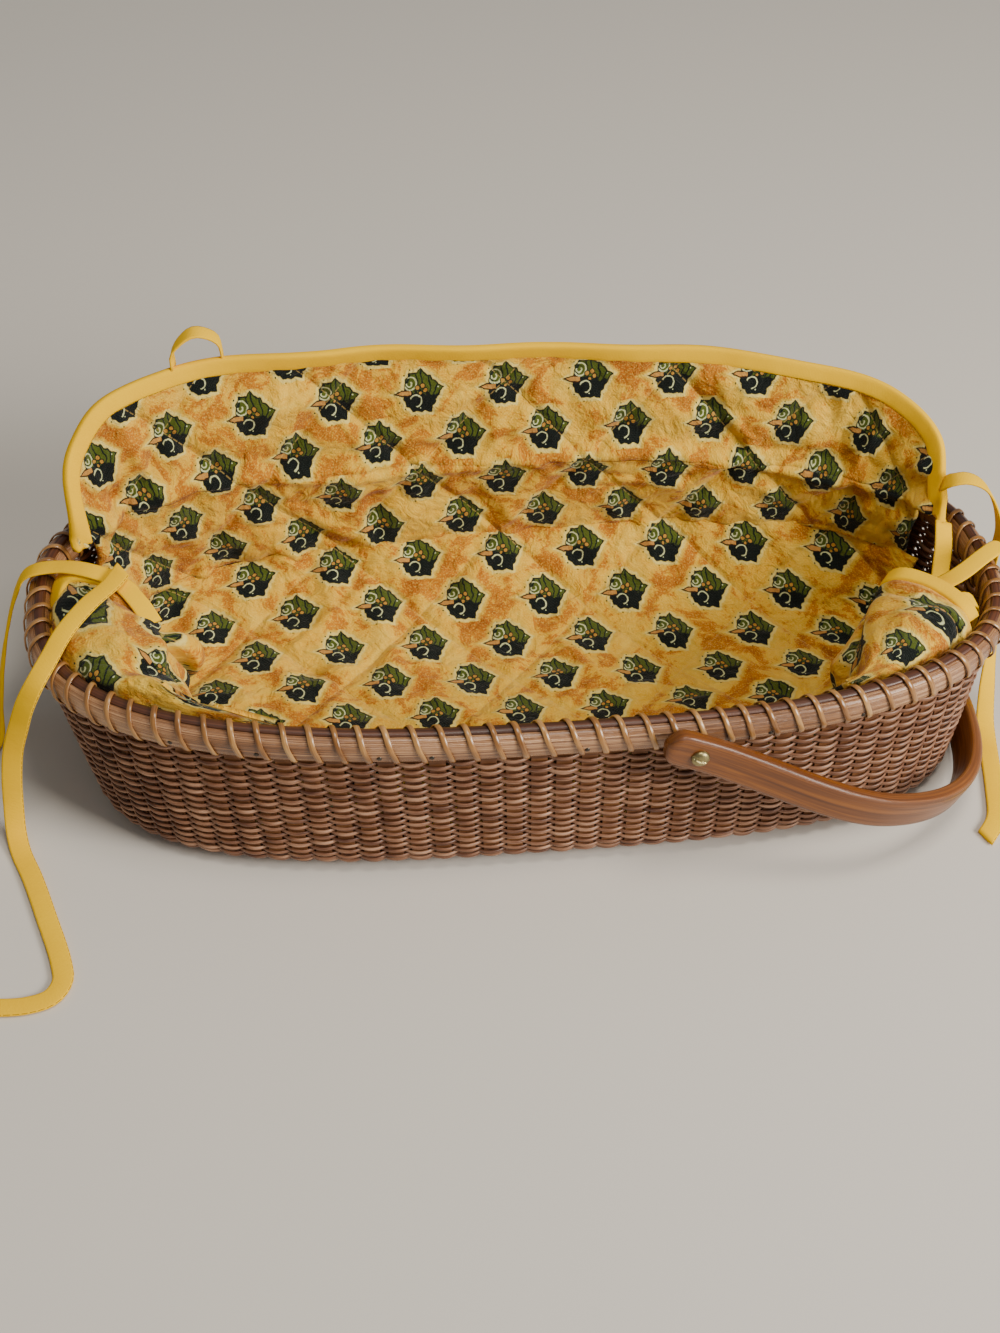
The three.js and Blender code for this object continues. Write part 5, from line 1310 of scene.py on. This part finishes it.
def ledge_edge_at(side, way_in):
    """A ledge's free edge, smoothed, with its length."""
    place = ledge_place(side)
    rows = np.array(LEDGE_BINDINGS[side])
    u, v = read_at(np.linspace(0, len(rows) - 1, 300), np.arange(len(rows)), rows).T
    line = place(u, v)
    run = run_along(line)

    def eased(rows, reach=15):
        wide = np.pad(rows, ((reach, reach), (0, 0)), mode="edge")
        kernel = np.ones(2 * reach + 1) / (2 * reach + 1)
        return np.array([np.convolve(c, kernel, mode="valid") for c in wide.T]).T

    line, normal = eased(line), unit(eased(cloth_normal(place, u, v, 4e-3)))
    across = unit(np.cross(unit(np.gradient(line, axis=0)), normal)) * way_in

    def edge_at(share):
        middle, face, wide = (read_at(share * run[-1], run, rows)
                              for rows in (line, normal, across))
        return middle + face * 0.2 * MM - wide * 2.4 * MM, wide, face
    return run[-1], edge_at


for side, way_in in (("left", 1), ("right", -1)):
    bind(f"binding_{side}_end_tape", f"binding_{side}_end", *ledge_edge_at(side, way_in))

# Short tapes sewn to the liner: the tail at the right front corner, the loop on the
# flap's top edge, and the loose end of the flap's binding. Station, depth in from the
# liner's wall side, rise over the flap's foot, and heading.
SEWN_TAPES = {
    "tie_right_tail": [
        [96.06, 14.8, -2.4, 92], [96.67, 9.2, -2, 92], [97.31, 3.3, -2, 92],
        [97.65, -0.2, -4.3, 92], [97.76, -1.4, -9.3, 92], [97.82, -1.6, -21.3, 92],
    ],
    "tie_back_loop": [
        [39.43, -15.1, 51.9, 80], [39.39, -16.3, 58.7, 80], [38.5, -16.3, 65.7, 85],
        [37.5, -16.4, 60.7, 90], [37.29, -16.6, 52.2, 90],
    ],
    "binding_back_end": [
        [2.28, 1.4, 0.1, 30], [0.92, 5, -5.3, 12], [0, 7.6, -12.3, 5],
        [-0.82, 8.4, -19.3, 5], [-1.65, 7, -28.3, 8],
    ],
}
for tape_name, rows in SEWN_TAPES.items():
    rows = np.array(rows, float)
    places = on_wall(rows[:, 0], LINER_INSET + rows[:, 1] * MM, SPLIT_HEIGHT + rows[:, 2] * MM)
    sewn = make_ribbon(tape_name + "_ribbon", np.column_stack([places / MM, rows[:, 3]]))[0]
    dress(sewn, ribbon_cotton, "tape", "liner", tape_name)

# The cloth that stands over the rim where the handle goes over: each piece gets its own copy of its
# mesh
SQUASHED = ["liner_back_flap_quilt", "binding_back_flap_tape", "tie_back_loop_ribbon",
            "tie_right_outer_ribbon", "tie_right_loop_ribbon"]
for piece_name in SQUASHED:
    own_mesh(bpy.data.objects[piece_name])

# ---------------------------------------------------------------------------
# Studio: a pale matt floor, a large window-like light from the right front for the gloss
# on the rim, a small soft one overhead, and an even fill.
form = bmesh.new()
bmesh.ops.create_grid(form, x_segments=1, y_segments=1, size=3)
studio_floor = stand(form, "studio_floor")
pale, add = start_material("pale_floor")
add("OutputMaterial", [add("BsdfPrincipled", {"Base Color": "#CFCBC4", "Roughness": 0.85})])
studio_floor.data.materials.append(pale)

SOFTBOXES = {
    "window": ((1.35, -0.95, 0.95), (0.8, 0.7), 46, "#FFF8EE"),
    "overhead": ((0.15, -0.25, 1.3), (0.45, 0.35), 8, "#FFF6E8"),
}
for light_name, (place, size, power, tint) in SOFTBOXES.items():
    softbox = bpy.data.lights.new(light_name, "AREA")
    softbox.shape = "RECTANGLE"
    softbox.size, softbox.size_y = size
    softbox.energy = power
    softbox.color = linear(tint)[:3]
    lamp = bpy.data.objects.new(light_name, softbox)
    lamp.location = place
    lamp.rotation_euler = (Vector((0, 0, 0.04)) - Vector(place)).to_track_quat("-Z", "Y").to_euler()
    bpy.context.scene.collection.objects.link(lamp)
world = bpy.data.worlds.new("studio_world")
world.use_nodes = True
bpy.context.scene.world = world
background = world.node_tree.nodes["Background"]
background.inputs[0].default_value = linear("#F3F0EA")
background.inputs[1].default_value = 0.3
